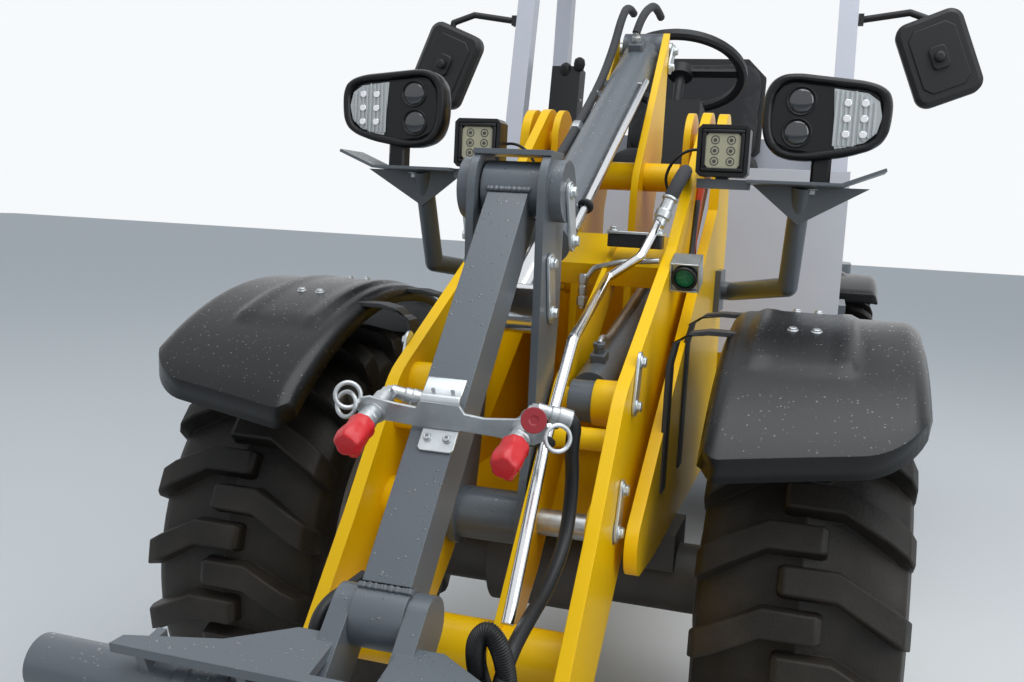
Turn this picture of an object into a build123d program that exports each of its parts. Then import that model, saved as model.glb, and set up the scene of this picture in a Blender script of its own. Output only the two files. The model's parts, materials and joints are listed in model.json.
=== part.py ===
from build123d import *
import os
from math import atan2, cos, degrees, hypot, pi, radians, sin

# Compact articulated wheel loader with an open canopy and a quick hitch.
# Millimetres. X points to the operator's left, -Y is the front, Z is up.
# Places are measured from the front axle, heights from a level AXLE_HEIGHT under it;
# save() then moves the model so that its origin is the middle of its box, on the ground.

# Machine
TYRE_RADIUS = 408.0
AXLE_HEIGHT = 408.0
WHEEL_BASE = 1880.0
TRACK_HALF = 460.0
PIVOT_Y = WHEEL_BASE / 2
REAR_END = WHEEL_BASE + 930.0

# Wheels
TYRE_WIDTH = 304.0
TYRE_SHOULDER = 46.0
TYRE_SIDES = 24
LUG_COUNT = 13
LUG_DEPTH = 25.0
LUG_WIDTH = 46.0
LUG_OVERLAP = 32.0
LUG_SLANT = 64.0
LUG_BEVEL = 24.0
RIM_RADIUS = 209.0
RIM_WALL = 9.0
RIM_WIDTH = 236.0
RIM_LIP = 16.0
TYRE_SEAT_GAP = 0.6
DISC_THICKNESS = 14.0
DISC_OFFSET = 34.0
RIM_HOLES = 8
RIM_HOLE_RADIUS = 17.0
HUB_RADIUS = 88.0
HUB_INNER = 352.0
HUB_OUTER = 556.0
STUB_RADIUS = 42.0
STUB_END = 520.0
RUNNING_GAP = 0.05
FACE_GAP = 0.3

# Linkage pivots, side view (y, z)
ARM_PIVOT = (480.0, 1215.0)
HITCH_PIVOT = (-730.0, 278.0)
CRANK_PIVOT = (-362.0, 589.0)
CRANK_TOP = (-328.0, 1085.0)
CRANK_ROD_PIN = (-320.0, 906.0)
LINK_FOOT = (-757.0, 572.0)
TILT_REAR = (638.0, 1442.0)
LIFT_EYE = (-280.0, 765.0)
LIFT_LENGTH = 665.0
LIFT_SLOPE = 13.0
LIFT_REAR = (
    LIFT_EYE[0] + LIFT_LENGTH * cos(radians(LIFT_SLOPE)),
    LIFT_EYE[1] + LIFT_LENGTH * sin(radians(LIFT_SLOPE)),
)
PIN_RADIUS = 20.0

# Lift arm
ARM_INNER = 170.0
ARM_PLATE = 20.0
ARM_OUTER = ARM_INNER + ARM_PLATE
# Stations of the arm's outline: y, z, half depth
ARM_STATIONS = [
    (ARM_PIVOT[0], ARM_PIVOT[1], 72.0),
    (120.0, 925.0, 92.0),
    (-268.0, 700.0, 116.0),
    (-420.0, 540.0, 94.0),
    (-560.0, 400.0, 78.0),
    (HITCH_PIVOT[0], HITCH_PIVOT[1], 56.0),
]
HITCH_TOP_TUBE = (-846.0, 480.0)
HITCH_TUBE_RADIUS = 34.0
HITCH_BAR = (-860.0, 194.0)
HITCH_BAR_RADIUS = 28.0
HITCH_EAR_NOSE = 32.0
HITCH_HALF = 412.0
LOCK_BORE = (-850.0, 262.0)
LOCK_BORE_RADIUS = 17.5
LOCK_PLATE = 20.0
# Sloping deck over the top tube with a notch for the link, one half from above: x, y
DECK = [
    (0.0, -876.0), (38.0, -876.0), (38.0, -802.0), (90.0, -802.0),
    (162.0, -846.0), (278.0, -872.0), (284.0, -890.0), (0.0, -890.0),
]
DECK_REAR = (-802.0, 562.0)
DECK_SLOPE = 13.0
DECK_PLATE = 12.0
DECK_RIBS = (120.0, 250.0)
LOWER_TUBE = (-526.0, 446.0)
LOWER_TUBE_RADIUS = 42.0
# Inner plate beside the crank: y, z, half depth
WEB_INNER = 66.0
WEB_PLATE = 9.0
WEB_OUTER = WEB_INNER + WEB_PLATE
WEB_STATIONS = [
    (92.0, 966.0, 34.0),
    (-250.0, 745.0, 64.0),
    (-400.0, 565.0, 66.0),
    (-526.0, 446.0, 46.0),
]
THIN_TUBE = (-352.0, 722.0)
THIN_TUBE_RADIUS = 17.0
ARM_BEAM = (92.0, 972.0)
ARM_BEAM_LENGTH = 120.0
ARM_BEAM_DEPTH = 44.0
ARM_BEAM_SLOPE = 27.0
LIFT_BOSS_INNER = 131.0
LIFT_BOSS_RADIUS = 36.0

# Bell crank and link
CRANK_INNER = 48.0
CRANK_PLATE = 12.0
CRANK_OUTER = CRANK_INNER + CRANK_PLATE
# Stations of the crank's outline: y, z, half depth
CRANK_STATIONS = [
    (CRANK_PIVOT[0], CRANK_PIVOT[1], 50.0),
    (-326.0, 760.0, 46.0),
    (CRANK_ROD_PIN[0], CRANK_ROD_PIN[1], 56.0),
    (CRANK_TOP[0], CRANK_TOP[1], 58.0),
]
CRANK_HUB_RADIUS = 40.0
CRANK_HUB_HALF = 65.0
LINK_SIZE = 62.0
LINK_TOP_RADIUS = 42.0
LINK_TOP_HALF = 44.0
LINK_FOOT_RADIUS = 38.0
LINK_FOOT_HALF = 33.0

# Cylinders
TILT_BARREL_RADIUS = 42.0
TILT_BARREL_LENGTH = 900.0
TILT_ROD_RADIUS = 22.0
TILT_EYE_RADIUS = 38.0
TILT_EYE_HALF = CRANK_INNER - FACE_GAP
LIFT_BARREL_RADIUS = 31.0
LIFT_BARREL_LENGTH = 575.0
LIFT_ROD_RADIUS = 18.0
LIFT_X = 112.0
LIFT_EYE_HALF = LIFT_BOSS_INNER - LIFT_X - FACE_GAP
LIFT_EYE_RADIUS = 33.0
LIFT_ROD_EYE_HALF = 24.0

# Front frame
SIDE_INNER = 205.0
SIDE_PLATE = 20.0
SIDE_OUTER = SIDE_INNER + SIDE_PLATE
TOWER_INNER = 138.0
TOWER_PLATE = 15.0
MAST_INNER = 50.0
MAST_PLATE = 15.0
TOWER_RADIUS = 70.0
NOSE = (-318.0, 560.0)
NOSE_RADIUS = 46.0
WALL_HEIGHT = 900.0
FRAME_BOTTOM = 505.0
FLOOR_FRONT = -130.0
FLOOR_PLATE = 20.0
FRAME_REAR = PIVOT_Y - 330.0
TOWER_TUBE = (395.0, 1140.0)
TOWER_TUBE_RADIUS = 30.0
EAR_PLATE = 22.0
LOWER_EAR = 398.0
UPPER_EAR = 640.0
EAR_RADIUS = 62.0
STEER_PIN_RADIUS = 25.0
# Low box behind the tower that carries the pivot
BOX_HALF = 145.0
BOX_WALL = 15.0
BOX_REAR = PIVOT_Y - 90.0
STEER_LUG = (BOX_HALF + 25.0, PIVOT_Y - 60.0)
STEER_ANCHOR = (150.0, PIVOT_Y + 480.0)
STEER_Z = 530.0
STEER_LENGTH = hypot(STEER_ANCHOR[0] - STEER_LUG[0], STEER_ANCHOR[1] - STEER_LUG[1])
STEER_BARREL_RADIUS = 27.0
STEER_ROD_RADIUS = 15.0
STEER_EYE_RADIUS = 28.0

# Fenders: arc over the tyre, ends measured from the axle
FENDER_ARC_RADIUS = TYRE_RADIUS + 232.0
FENDER_ARC_TOP = AXLE_HEIGHT + TYRE_RADIUS + 86.0
FENDER_ARC_Y = -19.0
FENDER_FRONT = -468.0
FENDER_REAR = 430.0
FENDER_INNER = TRACK_HALF - TYRE_WIDTH / 2
FENDER_OUTER = TRACK_HALF + TYRE_WIDTH / 2 + 2.0
FENDER_WALL = 7.0
FENDER_SKIRT = 26.0
# The outer front corner is cut back by this much, over this length
FENDER_CUT = 79.0
FENDER_CUT_LENGTH = 190.0
# Raised panel along the top: half width, height, distance from the ends
PANEL_HALF = 78.0
PANEL_RISE = 7.0
PANEL_END = 230.0
SLOT_LENGTH = 46.0
# Straps under each fender, their places from its axle
STRAPS = (33.0, -159.0)
STRAP_WIDTH = 44.0
STRAP_THICKNESS = 10.0
STRAP_REACH = 150.0
STRAP_FOOT = 600.0

# Lamps
LAMP_FOOT = (482.0, 903.0)
LAMP_PLATE_Z = 1128.0
WORK_LAMP = 98.0
WORK_LAMP_FINS = 5
# Front view of a headlamp: x, z
HEADLAMP = [
    (315.0, 1214.0), (333.0, 1186.0), (380.0, 1172.0), (446.0, 1174.0), (512.0, 1194.0),
    (540.0, 1222.0), (544.0, 1268.0), (526.0, 1292.0), (480.0, 1315.0), (387.0, 1331.0),
    (340.0, 1324.0), (315.0, 1284.0),
]
HEADLAMP_Y = 216.0
HEADLAMP_RIM = 52.0
HEADLAMP_BACK = 50.0
HEADLAMP_EDGE = 17.0

# Operator station
FLOOR_Z = 850.0
WALL_Y = PIVOT_Y + 70.0
WALL_TOP = 1200.0
STATION_HALF = 490.0
STATION_REAR = WHEEL_BASE - 280.0
# Floor and wall behind the seat, between the rear fenders
BACK_HALF = 300.0
BACK_WALL_Y = STATION_REAR + 30.0
SHEET = 6.0
PEDALS = (-210.0, 190.0)
POST = 50.0
POST_FOOT = (STATION_HALF - 28.0, WALL_Y + 42.0)
POST_TOP = (STATION_HALF - 50.0, WALL_Y + 215.0)
REAR_POST_Y = STATION_REAR - 25.0
SEAT_BOX_TOP = 1140.0
SEAT_HALF = 240.0
WHEEL_RADIUS = 189.0
# Mirrors: side, centre x, centre z, lean in degrees
MIRRORS = ((1, 682.0, 1502.0, 22.0), (-1, 682.0, 1472.0, 22.0))
MIRROR_KNOB_Z = 1606.0
MIRROR_WIDTH = 170.0
MIRROR_HEIGHT = 226.0
MIRROR_DEPTH = 40.0
MIRROR_TUBE = 9.0
ROOF_Z = 2230.0
ROOF_DEPTH = 52.0
ROOF_CHANNEL = 290.0

# Rear frame
REAR_INNER = 230.0
REAR_PLATE = 20.0
REAR_OUTER = REAR_INNER + REAR_PLATE
BULKHEAD_Y = PIVOT_Y + 160.0
BULKHEAD = 25.0
REAR_BOTTOM = 480.0
REAR_TOP = 700.0
BONNET_FRONT = BACK_WALL_Y + SHEET + 6.0
BONNET_TOP = 1330.0
BONNET_HALF = 410.0
BONNET_BOTTOM = 925.0
BONNET_WALL = 8.0
BONNET_HINGE = (BONNET_FRONT + 8.0, BONNET_TOP + 12.0)
LOUVRES = 8
LOUVRE_PITCH = 36.0
GRILLE_BARS = 4
GRILLE_HALF = 270.0
HINGE_RADIUS = 9.0
HINGE_PIN_RADIUS = 5.0
ENGINE_FRONT = BONNET_FRONT + 58.0
# Hinge knuckles on the bonnet: inner and outer x
HINGE_SPANS = ((250.0, 300.0), (-300.0, -250.0))
WEIGHT_FRONT = WHEEL_BASE + 550.0
WEIGHT_HALF = 540.0
WEIGHT_TOP = BONNET_BOTTOM - 10.0
REAR_LAMP_X = 380.0

JAW_HALF = 90.0
JAW_DEPTH = 90.0
JAW_LOWER = 520.0
JAW_UPPER = 650.0
JAW_BORE = 16.0

FRONT_END = HITCH_BAR[0] - HITCH_EAR_NOSE
ORIGIN_Y = (FRONT_END + REAR_END) / 2


def at_x(x, sketch):
    """Puts a side-view sketch, drawn in (y, z), on the plane at x."""
    return Plane.YZ.offset(x) * sketch


def slab(sketch, x0, x1):
    """Side-view sketch made into a plate from x0 to x1."""
    return extrude(at_x(x0, sketch), amount=x1 - x0)


def disc(place, radius):
    return Pos(place[0], place[1]) * Circle(radius)


def outline(stations):
    """Plate outline: circles at the stations, joined by their tangents."""
    shape = None
    for first, second in zip(stations, stations[1:]):
        circles = [disc(first[:2], first[2]), disc(second[:2], second[2])]
        edges = circles[0].edges() + circles[1].edges()
        span = make_hull(edges)
        shape = span if shape is None else shape + span
    return shape


def round_x(place, radius, x0, x1):
    """Cylinder along X through the side-view place."""
    return slab(disc(place, radius), x0, x1)


def both(shape):
    """The shape and its mirror image on the other side of the machine."""
    return Compound(children=[shape, mirror(shape, about=Plane.YZ)])


def block(x0, x1, y0, y1, z0, z1):
    return Pos((x0 + x1) / 2, (y0 + y1) / 2, (z0 + z1) / 2) * Box(x1 - x0, y1 - y0, z1 - z0)


def along(start, end):
    """Plane at start whose normal runs to end."""
    direction = (Vector(*end) - Vector(*start)).normalized()
    across = (1, 0, 0) if abs(direction.X) < 0.9 else (0, 1, 0)
    return Plane(origin=start, z_dir=direction, x_dir=across)


def bar_between(start, end, section):
    length = (Vector(*end) - Vector(*start)).length
    return extrude(along(start, end) * section, amount=length)


def part_way(start, end, distance):
    """Point in side view at a distance from start towards end."""
    length = hypot(end[0] - start[0], end[1] - start[1])
    share = distance / length
    return (start[0] + share * (end[0] - start[0]), start[1] + share * (end[1] - start[1]))


def save(shape, node):
    moved = Pos(0, -ORIGIN_Y, TYRE_RADIUS - AXLE_HEIGHT) * shape
    export_step(moved, "parts/" + node + ".step")
    print(node, "saved")


# Wheels

def faceted_ring(profile, sides):
    """Ring about X with flat facets. The closed profile holds x and radius."""
    step = 2 * pi / sides
    faces = []
    for (x0, r0), (x1, r1) in zip(profile, profile[1:] + profile[:1]):
        for index in range(sides):
            low, high = (index - 0.5) * step, (index + 0.5) * step
            corners = [
                Vector(x0, r0 * cos(low), r0 * sin(low)),
                Vector(x0, r0 * cos(high), r0 * sin(high)),
                Vector(x1, r1 * cos(high), r1 * sin(high)),
                Vector(x1, r1 * cos(low), r1 * sin(low)),
            ]
            faces.append(Face(Wire.make_polygon(corners, close=True)))
    return Solid(Shell(faces))


def tread_lug():
    """Hooked lug: straight over the middle of the tread, then slanted to the shoulder."""
    wall = TYRE_WIDTH / 2 - 2
    half = LUG_WIDTH / 2
    plan = Polyline(
        (-LUG_OVERLAP, -half - LUG_SLANT / 2),
        (wall / 3, -half - LUG_SLANT / 2),
        (wall, LUG_SLANT / 2 - half),
        (wall, LUG_SLANT / 2 + half),
        (wall / 3 - 6, half - LUG_SLANT / 2),
        (-LUG_OVERLAP, half - LUG_SLANT / 2),
        close=True,
    )
    lug = extrude(Plane.XY.offset(TYRE_RADIUS / 2) * make_face(plan), amount=TYRE_RADIUS / 2 - 2)
    section = Polyline(
        (-LUG_OVERLAP, TYRE_RADIUS - TYRE_SHOULDER),
        (-LUG_OVERLAP, TYRE_RADIUS),
        (wall - LUG_BEVEL, TYRE_RADIUS),
        (wall, TYRE_RADIUS - LUG_DEPTH - TYRE_SHOULDER + 8),
        (wall, TYRE_RADIUS - LUG_DEPTH - TYRE_SHOULDER - 6),
        (wall - TYRE_SHOULDER, TYRE_RADIUS - TYRE_SHOULDER - 12),
        close=True,
    )
    return lug & extrude(Plane.XZ * make_face(section), amount=TYRE_RADIUS / 2, both=True)


def tyre(side, y):
    """Faceted carcass with two rows of lugs that reach past each other in the middle."""
    bead = RIM_WIDTH / 2 - RIM_LIP
    wall = TYRE_WIDTH / 2 - 2
    tread = TYRE_RADIUS - LUG_DEPTH
    bore = (RIM_RADIUS + TYRE_SEAT_GAP) / cos(pi / TYRE_SIDES)
    shoulder = tread - TYRE_SHOULDER + 8
    ring = faceted_ring([
        (-bead, bore),
        (-bead, RIM_RADIUS + RIM_LIP + 1),
        (-wall, shoulder),
        (TYRE_SHOULDER - 12 - wall, tread),
        (wall + 12 - TYRE_SHOULDER, tread),
        (wall, shoulder),
        (bead, RIM_RADIUS + RIM_LIP + 1),
        (bead, bore),
    ], TYRE_SIDES)
    left_lug = tread_lug()
    right_lug = mirror(left_lug, about=Plane.YZ)
    pitch = 360 / LUG_COUNT
    lugs = []
    for index in range(LUG_COUNT):
        lugs.append(Rot(index * pitch, 0, 0) * left_lug)
        lugs.append(Rot((index + 0.5) * pitch, 0, 0) * right_lug)
    return Pos(side * TRACK_HALF, y, AXLE_HEIGHT) * ring.fuse(*lugs)


def rim(side, y):
    half = RIM_WIDTH / 2
    lip = RIM_LIP - 4
    bore = RIM_RADIUS - RIM_WALL
    barrel = Polyline(
        (-half, bore),
        (half, bore),
        (half, RIM_RADIUS + lip),
        (half - lip, RIM_RADIUS + lip),
        (half - lip, RIM_RADIUS),
        (-half + lip, RIM_RADIUS),
        (-half + lip, RIM_RADIUS + lip),
        (-half, RIM_RADIUS + lip),
        close=True,
    )
    body = revolve(Plane.XY * make_face(barrel), Axis.X)
    holes = PolarLocations((bore + HUB_RADIUS) / 2, RIM_HOLES) * Circle(RIM_HOLE_RADIUS)
    plate = extrude(Circle(bore + 1) - holes, amount=DISC_THICKNESS / 2, both=True)
    plate = Pos(DISC_OFFSET, 0, 0) * Rot(0, 90, 0) * plate
    hub_length = HUB_OUTER - HUB_INNER
    hub_middle = (HUB_OUTER + HUB_INNER) / 2 - TRACK_HALF
    hub = Pos(hub_middle, 0, 0) * Rot(0, 90, 0) * Cylinder(HUB_RADIUS, hub_length)
    stub_depth = STUB_END + 6 - HUB_INNER
    stub_middle = (STUB_END + 6 + HUB_INNER) / 2 - TRACK_HALF
    seat = Pos(stub_middle, 0, 0) * Rot(0, 90, 0) * Cylinder(STUB_RADIUS + RUNNING_GAP, stub_depth)
    whole = body + plate + hub - seat
    if side < 0:
        whole = mirror(whole, about=Plane.YZ)
    return Pos(side * TRACK_HALF, y, AXLE_HEIGHT) * whole


def axle(y, pad_x, pad_top):
    tube = Rot(0, 90, 0) * Cylinder(62, 2 * 300)
    centre = Rot(0, 90, 0) * Cylinder(90, 190)
    shape = tube + centre
    for side in (1, -1):
        drum = Pos(side * 315, 0, 0) * Rot(0, 90, 0) * Cylinder(98, 60)
        stub_length = STUB_END - 340
        stub = Pos(side * (340 + stub_length / 2), 0, 0) * Rot(0, 90, 0)
        shape = shape + drum + stub * Cylinder(STUB_RADIUS, stub_length)
        pad = block(side * pad_x - 28, side * pad_x + 28, -70, 70, 30, pad_top - AXLE_HEIGHT)
        shape = shape + pad
    return Pos(0, y, AXLE_HEIGHT) * shape


# Front frame

def front_frame():
    """Side plates with the arm's pivot pins, tied by a floor and a rear wall."""
    floor_top = FRAME_BOTTOM + FLOOR_PLATE
    shoulder = (ARM_PIVOT[0] - 50, ARM_PIVOT[1] - 175)
    rear_top = (FRAME_REAR - TOWER_RADIUS, ARM_PIVOT[1] - 160)
    side = outline([(NOSE[0], NOSE[1], NOSE_RADIUS), (*shoulder, 60.0)])
    side += outline([(*shoulder, 60.0), (*ARM_PIVOT, TOWER_RADIUS)])
    side += outline([(*ARM_PIVOT, TOWER_RADIUS), (*rear_top, 60.0)])
    body = Polyline(
        (NOSE[0], NOSE[1] - NOSE_RADIUS),
        (NOSE[0] + 118, FRAME_BOTTOM),
        (FRAME_REAR, FRAME_BOTTOM),
        (FRAME_REAR, rear_top[1]),
        shoulder,
        NOSE,
        close=True,
    )
    side += make_face(body)
    half = slab(side, SIDE_INNER, SIDE_OUTER)
    half += round_x(ARM_PIVOT, PIN_RADIUS + 5, TOWER_INNER + TOWER_PLATE, SIDE_OUTER + 12)
    half += block(0, SIDE_INNER + 1, FLOOR_FRONT, FRAME_REAR, FRAME_BOTTOM, floor_top)
    half += block(0, SIDE_INNER + 1, FRAME_REAR - FLOOR_PLATE, FRAME_REAR, FRAME_BOTTOM, WALL_HEIGHT)
    return half + mirror(half, about=Plane.YZ)


def frame_tower():
    """Inner plates beside the arm's pivot and the mast plates of the tilt cylinder."""
    foot = (FRAME_REAR - 90, FRAME_BOTTOM + 55)
    waist = (ARM_PIVOT[0] + 20, ARM_PIVOT[1] - 235)
    tower = outline([(*ARM_PIVOT, TOWER_RADIUS), (*waist, 90.0)])
    tower += outline([(*waist, 90.0), (*foot, 80.0)])
    tower += outline([(*LIFT_REAR, 44.0), (waist[0], waist[1] - 50, 80.0)])
    mast_waist = (TILT_REAR[0] - 218, TILT_REAR[1] - 352)
    mast = outline([(*TILT_REAR, 58.0), (*mast_waist, 110.0)])
    mast += outline([(*mast_waist, 110.0), (mast_waist[0], foot[1], 110.0)])
    mast = mast - disc(TILT_REAR, PIN_RADIUS + RUNNING_GAP)
    half = slab(tower, TOWER_INNER, TOWER_INNER + TOWER_PLATE)
    half += slab(mast, MAST_INNER, MAST_INNER + MAST_PLATE)
    half += round_x(LIFT_REAR, 34.0, MAST_INNER + 1, LIFT_X - LIFT_ROD_EYE_HALF - FACE_GAP)
    half += round_x(TOWER_TUBE, TOWER_TUBE_RADIUS, 0, TOWER_INNER + 1)
    room = block(0, SIDE_INNER, NOSE[0], FRAME_REAR - FLOOR_PLATE,
                 FRAME_BOTTOM + FLOOR_PLATE, TILT_REAR[1] + TOWER_RADIUS)
    half = half & room
    return half + mirror(half, about=Plane.YZ)


def pivot_box():
    """Low box behind the tower with the steering pivot's ears, pin and cylinder lug."""
    box = block(-BOX_HALF, BOX_HALF, FRAME_REAR, BOX_REAR, LOWER_EAR, UPPER_EAR + EAR_PLATE)
    box -= block(-BOX_HALF + BOX_WALL, BOX_HALF - BOX_WALL, FRAME_REAR + BOX_WALL, BOX_REAR + 1,
                 LOWER_EAR + EAR_PLATE, UPPER_EAR)
    root = Pos(0, BOX_REAR - 60) * Rectangle(2 * BOX_HALF, 80)
    ear = make_hull((Pos(0, PIVOT_Y) * Circle(EAR_RADIUS)).edges() + root.edges())
    for low in (LOWER_EAR, UPPER_EAR):
        box += extrude(Plane.XY.offset(low) * ear, amount=EAR_PLATE)
    pin_length = UPPER_EAR + EAR_PLATE - LOWER_EAR
    box += Pos(0, PIVOT_Y, LOWER_EAR + pin_length / 2) * Cylinder(STEER_PIN_RADIUS, pin_length)
    lug = make_hull(
        (Pos(*STEER_LUG) * Circle(34)).edges()
        + (Pos(BOX_HALF - 10, BOX_REAR - 30) * Circle(10)).edges()
        + (Pos(BOX_HALF - 10, FRAME_REAR + 80) * Circle(10)).edges()
    )
    for low in (STEER_Z - 30, STEER_Z + 18):
        box += extrude(Plane.XY.offset(low) * lug, amount=12)
    return box


# Fenders

def fender(y, front, rear, cut, root_x):
    """Moulded shell over a tyre with a rim all round, on two straps from the frame."""
    centre = (y + FENDER_ARC_Y, FENDER_ARC_TOP - FENDER_ARC_RADIUS)
    plan = Polyline(
        (FENDER_INNER, y + front),
        (FENDER_OUTER - cut, y + front),
        (FENDER_OUTER, y + front + FENDER_CUT_LENGTH),
        (FENDER_OUTER, y + rear),
        (FENDER_INNER, y + rear),
        close=True,
    )
    plan = make_face(plan)
    low = FENDER_ARC_TOP - 200
    outer = extrude(Plane.XY.offset(low) * plan, amount=201)
    inner = extrude(Plane.XY.offset(low - 1) * offset(plan, amount=-FENDER_WALL, kind=Kind.INTERSECTION),
                    amount=202)
    rim = disc(centre, FENDER_ARC_RADIUS) - disc(centre, FENDER_ARC_RADIUS - FENDER_SKIRT)
    room = disc(centre, FENDER_ARC_RADIUS - FENDER_WALL)
    shell = slab(rim, FENDER_INNER, FENDER_OUTER) & outer
    shell -= slab(room, FENDER_INNER - 1, FENDER_OUTER + 1) & inner
    panel = disc(centre, FENDER_ARC_RADIUS + PANEL_RISE) - disc(centre, FENDER_ARC_RADIUS - 1)
    window = Pos(y + (front + rear) / 2, FENDER_ARC_TOP) * Rectangle(rear - front - 2 * PANEL_END, 300)
    middle = (FENDER_INNER + FENDER_OUTER) / 2 - 30
    raised = slab(panel & window, middle - PANEL_HALF, middle + PANEL_HALF)
    shell += chamfer(raised.edges().filter_by(Axis.X, reverse=True).group_by(Axis.Z)[-1], PANEL_RISE - 1)
    top = FENDER_ARC_RADIUS - FENDER_WALL + 1
    for place in STRAPS:
        arc = disc(centre, top) - disc(centre, top - STRAP_THICKNESS)
        window = Pos(y + place, centre[1] + top) * Rectangle(STRAP_WIDTH, 200)
        shell += slab(arc & window, root_x, FENDER_INNER + STRAP_REACH)
        leg_height = FENDER_ARC_TOP - STRAP_FOOT
        leg = Pos(y + place, STRAP_FOOT + leg_height / 2) * Rectangle(STRAP_WIDTH, leg_height)
        shell += slab(leg & disc(centre, top), root_x, root_x + STRAP_THICKNESS)
        slot = extrude(SlotOverall(SLOT_LENGTH, 14), amount=60, both=True)
        shell -= Pos(middle, y + place, FENDER_ARC_TOP) * slot
    return both(shell)


def lamp_brackets():
    foot_y, foot_z = LAMP_FOOT
    foot = (SIDE_OUTER + 10, foot_y, foot_z)
    start = (SIDE_OUTER + 34, foot_y, foot_z)
    bend = (382.0, 318.0, 930.0)
    top = (395.0, 262.0, LAMP_PLATE_Z)
    tube = bar_between(foot, start, Circle(20)) + Pos(*start) * Sphere(20)
    tube += bar_between(start, bend, Circle(20)) + Pos(*bend) * Sphere(20)
    tube += bar_between(bend, top, Circle(20))
    flange = block(SIDE_OUTER, SIDE_OUTER + 12, foot_y - 50, foot_y + 50, foot_z - 45, foot_z + 45)
    plate = block(296, 470, 160, 270, LAMP_PLATE_Z, LAMP_PLATE_Z + 6)
    wing = Pos(505, 215, LAMP_PLATE_Z + 18) * Rot(0, -22, 0) * Box(82, 110, 6)
    tab = block(ARM_OUTER + 10, 300, 196, 226, LAMP_PLATE_Z - 12, LAMP_PLATE_Z + 6)
    web = Polyline((300, LAMP_PLATE_Z + 1), (520, LAMP_PLATE_Z + 1), (392, LAMP_PLATE_Z - 74), close=True)
    tab += extrude(Plane.XZ.offset(-262) * make_face(web), amount=6)
    return both(tube + flange + plate + wing + tab)


def headlamps():
    """Rounded D housings with a recessed lens, each on a short foot."""
    face = make_face(Polyline(*HEADLAMP, close=True))
    seat = Plane.XZ.offset(-HEADLAMP_Y)
    body = extrude(seat * face, amount=HEADLAMP_RIM)
    body += extrude(seat * face, amount=-HEADLAMP_BACK, taper=24)
    lens = offset(face, amount=-HEADLAMP_EDGE, kind=Kind.INTERSECTION)
    body -= extrude(Plane.XZ.offset(HEADLAMP_RIM - HEADLAMP_Y) * lens, amount=-8)
    foot = block(410, 446, 190, 226, LAMP_PLATE_Z + 6 + FACE_GAP, 1182)
    return both(body + foot)


def work_lamps():
    lamp_x = ARM_OUTER + 8 + WORK_LAMP / 2
    lamp_z = LAMP_PLATE_Z + 10 + WORK_LAMP / 2
    body = Pos(lamp_x, 206, lamp_z) * Box(WORK_LAMP, 48, WORK_LAMP)
    foot = block(lamp_x - 12, lamp_x + 12, 200, 222, LAMP_PLATE_Z + 6 + FACE_GAP, LAMP_PLATE_Z + 14)
    body = chamfer(body.edges().filter_by(Axis.Y), 8)
    body -= Pos(lamp_x, 182, lamp_z) * Box(WORK_LAMP - 16, 12, WORK_LAMP - 16)
    for index in range(WORK_LAMP_FINS):
        z = lamp_z + (index - (WORK_LAMP_FINS - 1) / 2) * WORK_LAMP / (WORK_LAMP_FINS + 1)
        body += Pos(lamp_x, 238, z) * Box(WORK_LAMP - 22, 18, 4)
    return both(body + foot)


# Lift arm and linkage

def lift_arm():
    side = outline(ARM_STATIONS) - disc(ARM_PIVOT, PIN_RADIUS + 5 + RUNNING_GAP)
    side = side - disc(HITCH_PIVOT, PIN_RADIUS + RUNNING_GAP)
    side = side - disc(CRANK_PIVOT, PIN_RADIUS + RUNNING_GAP)
    plate = slab(side, ARM_INNER, ARM_OUTER)
    crank_boss = disc(CRANK_PIVOT, CRANK_HUB_RADIUS) - disc(CRANK_PIVOT, PIN_RADIUS + RUNNING_GAP)
    plate += slab(crank_boss, ARM_INNER - 18, ARM_INNER + 1)
    plate += round_x(LIFT_EYE, LIFT_BOSS_RADIUS, LIFT_BOSS_INNER, ARM_INNER + 1)
    plate += round_x(LIFT_EYE, PIN_RADIUS, WEB_INNER, ARM_OUTER)
    plate += round_x(THIN_TUBE, THIN_TUBE_RADIUS, WEB_INNER + 1, ARM_INNER + 1)
    web = outline(WEB_STATIONS) - disc(CRANK_PIVOT, PIN_RADIUS + RUNNING_GAP)
    plate += slab(web, WEB_INNER, WEB_OUTER)
    arms = plate + mirror(plate, about=Plane.YZ)
    arms += round_x(LOWER_TUBE, LOWER_TUBE_RADIUS, -ARM_INNER - 1, ARM_INNER + 1)
    beam = Pos(*ARM_BEAM) * Rot(0, 0, ARM_BEAM_SLOPE) * Rectangle(ARM_BEAM_LENGTH, ARM_BEAM_DEPTH)
    arms += slab(beam, -ARM_INNER - 1, ARM_INNER + 1)
    return arms


def crank_pin():
    return round_x(CRANK_PIVOT, PIN_RADIUS, -ARM_OUTER, ARM_OUTER)


def bell_crank():
    side = outline(CRANK_STATIONS) - disc(CRANK_PIVOT, PIN_RADIUS + RUNNING_GAP)
    side = side - disc(CRANK_TOP, PIN_RADIUS + RUNNING_GAP)
    plate = slab(side, CRANK_INNER, CRANK_OUTER)
    boss = disc(CRANK_TOP, 46) - disc(CRANK_TOP, PIN_RADIUS + RUNNING_GAP)
    plate += slab(boss, CRANK_OUTER - 1, CRANK_OUTER + 20)
    crank = plate + mirror(plate, about=Plane.YZ)
    hub = disc(CRANK_PIVOT, CRANK_HUB_RADIUS) - disc(CRANK_PIVOT, PIN_RADIUS + RUNNING_GAP)
    crank += slab(hub, -CRANK_HUB_HALF, CRANK_HUB_HALF)
    cover_top = CRANK_TOP[1] + 58
    crank += block(-CRANK_OUTER, CRANK_OUTER, CRANK_TOP[0] - 34, CRANK_TOP[0] + 40,
                   cover_top - 8, cover_top)
    return crank


def link_pin():
    return round_x(CRANK_TOP, PIN_RADIUS, -CRANK_OUTER - 20, CRANK_OUTER + 20)


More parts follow.
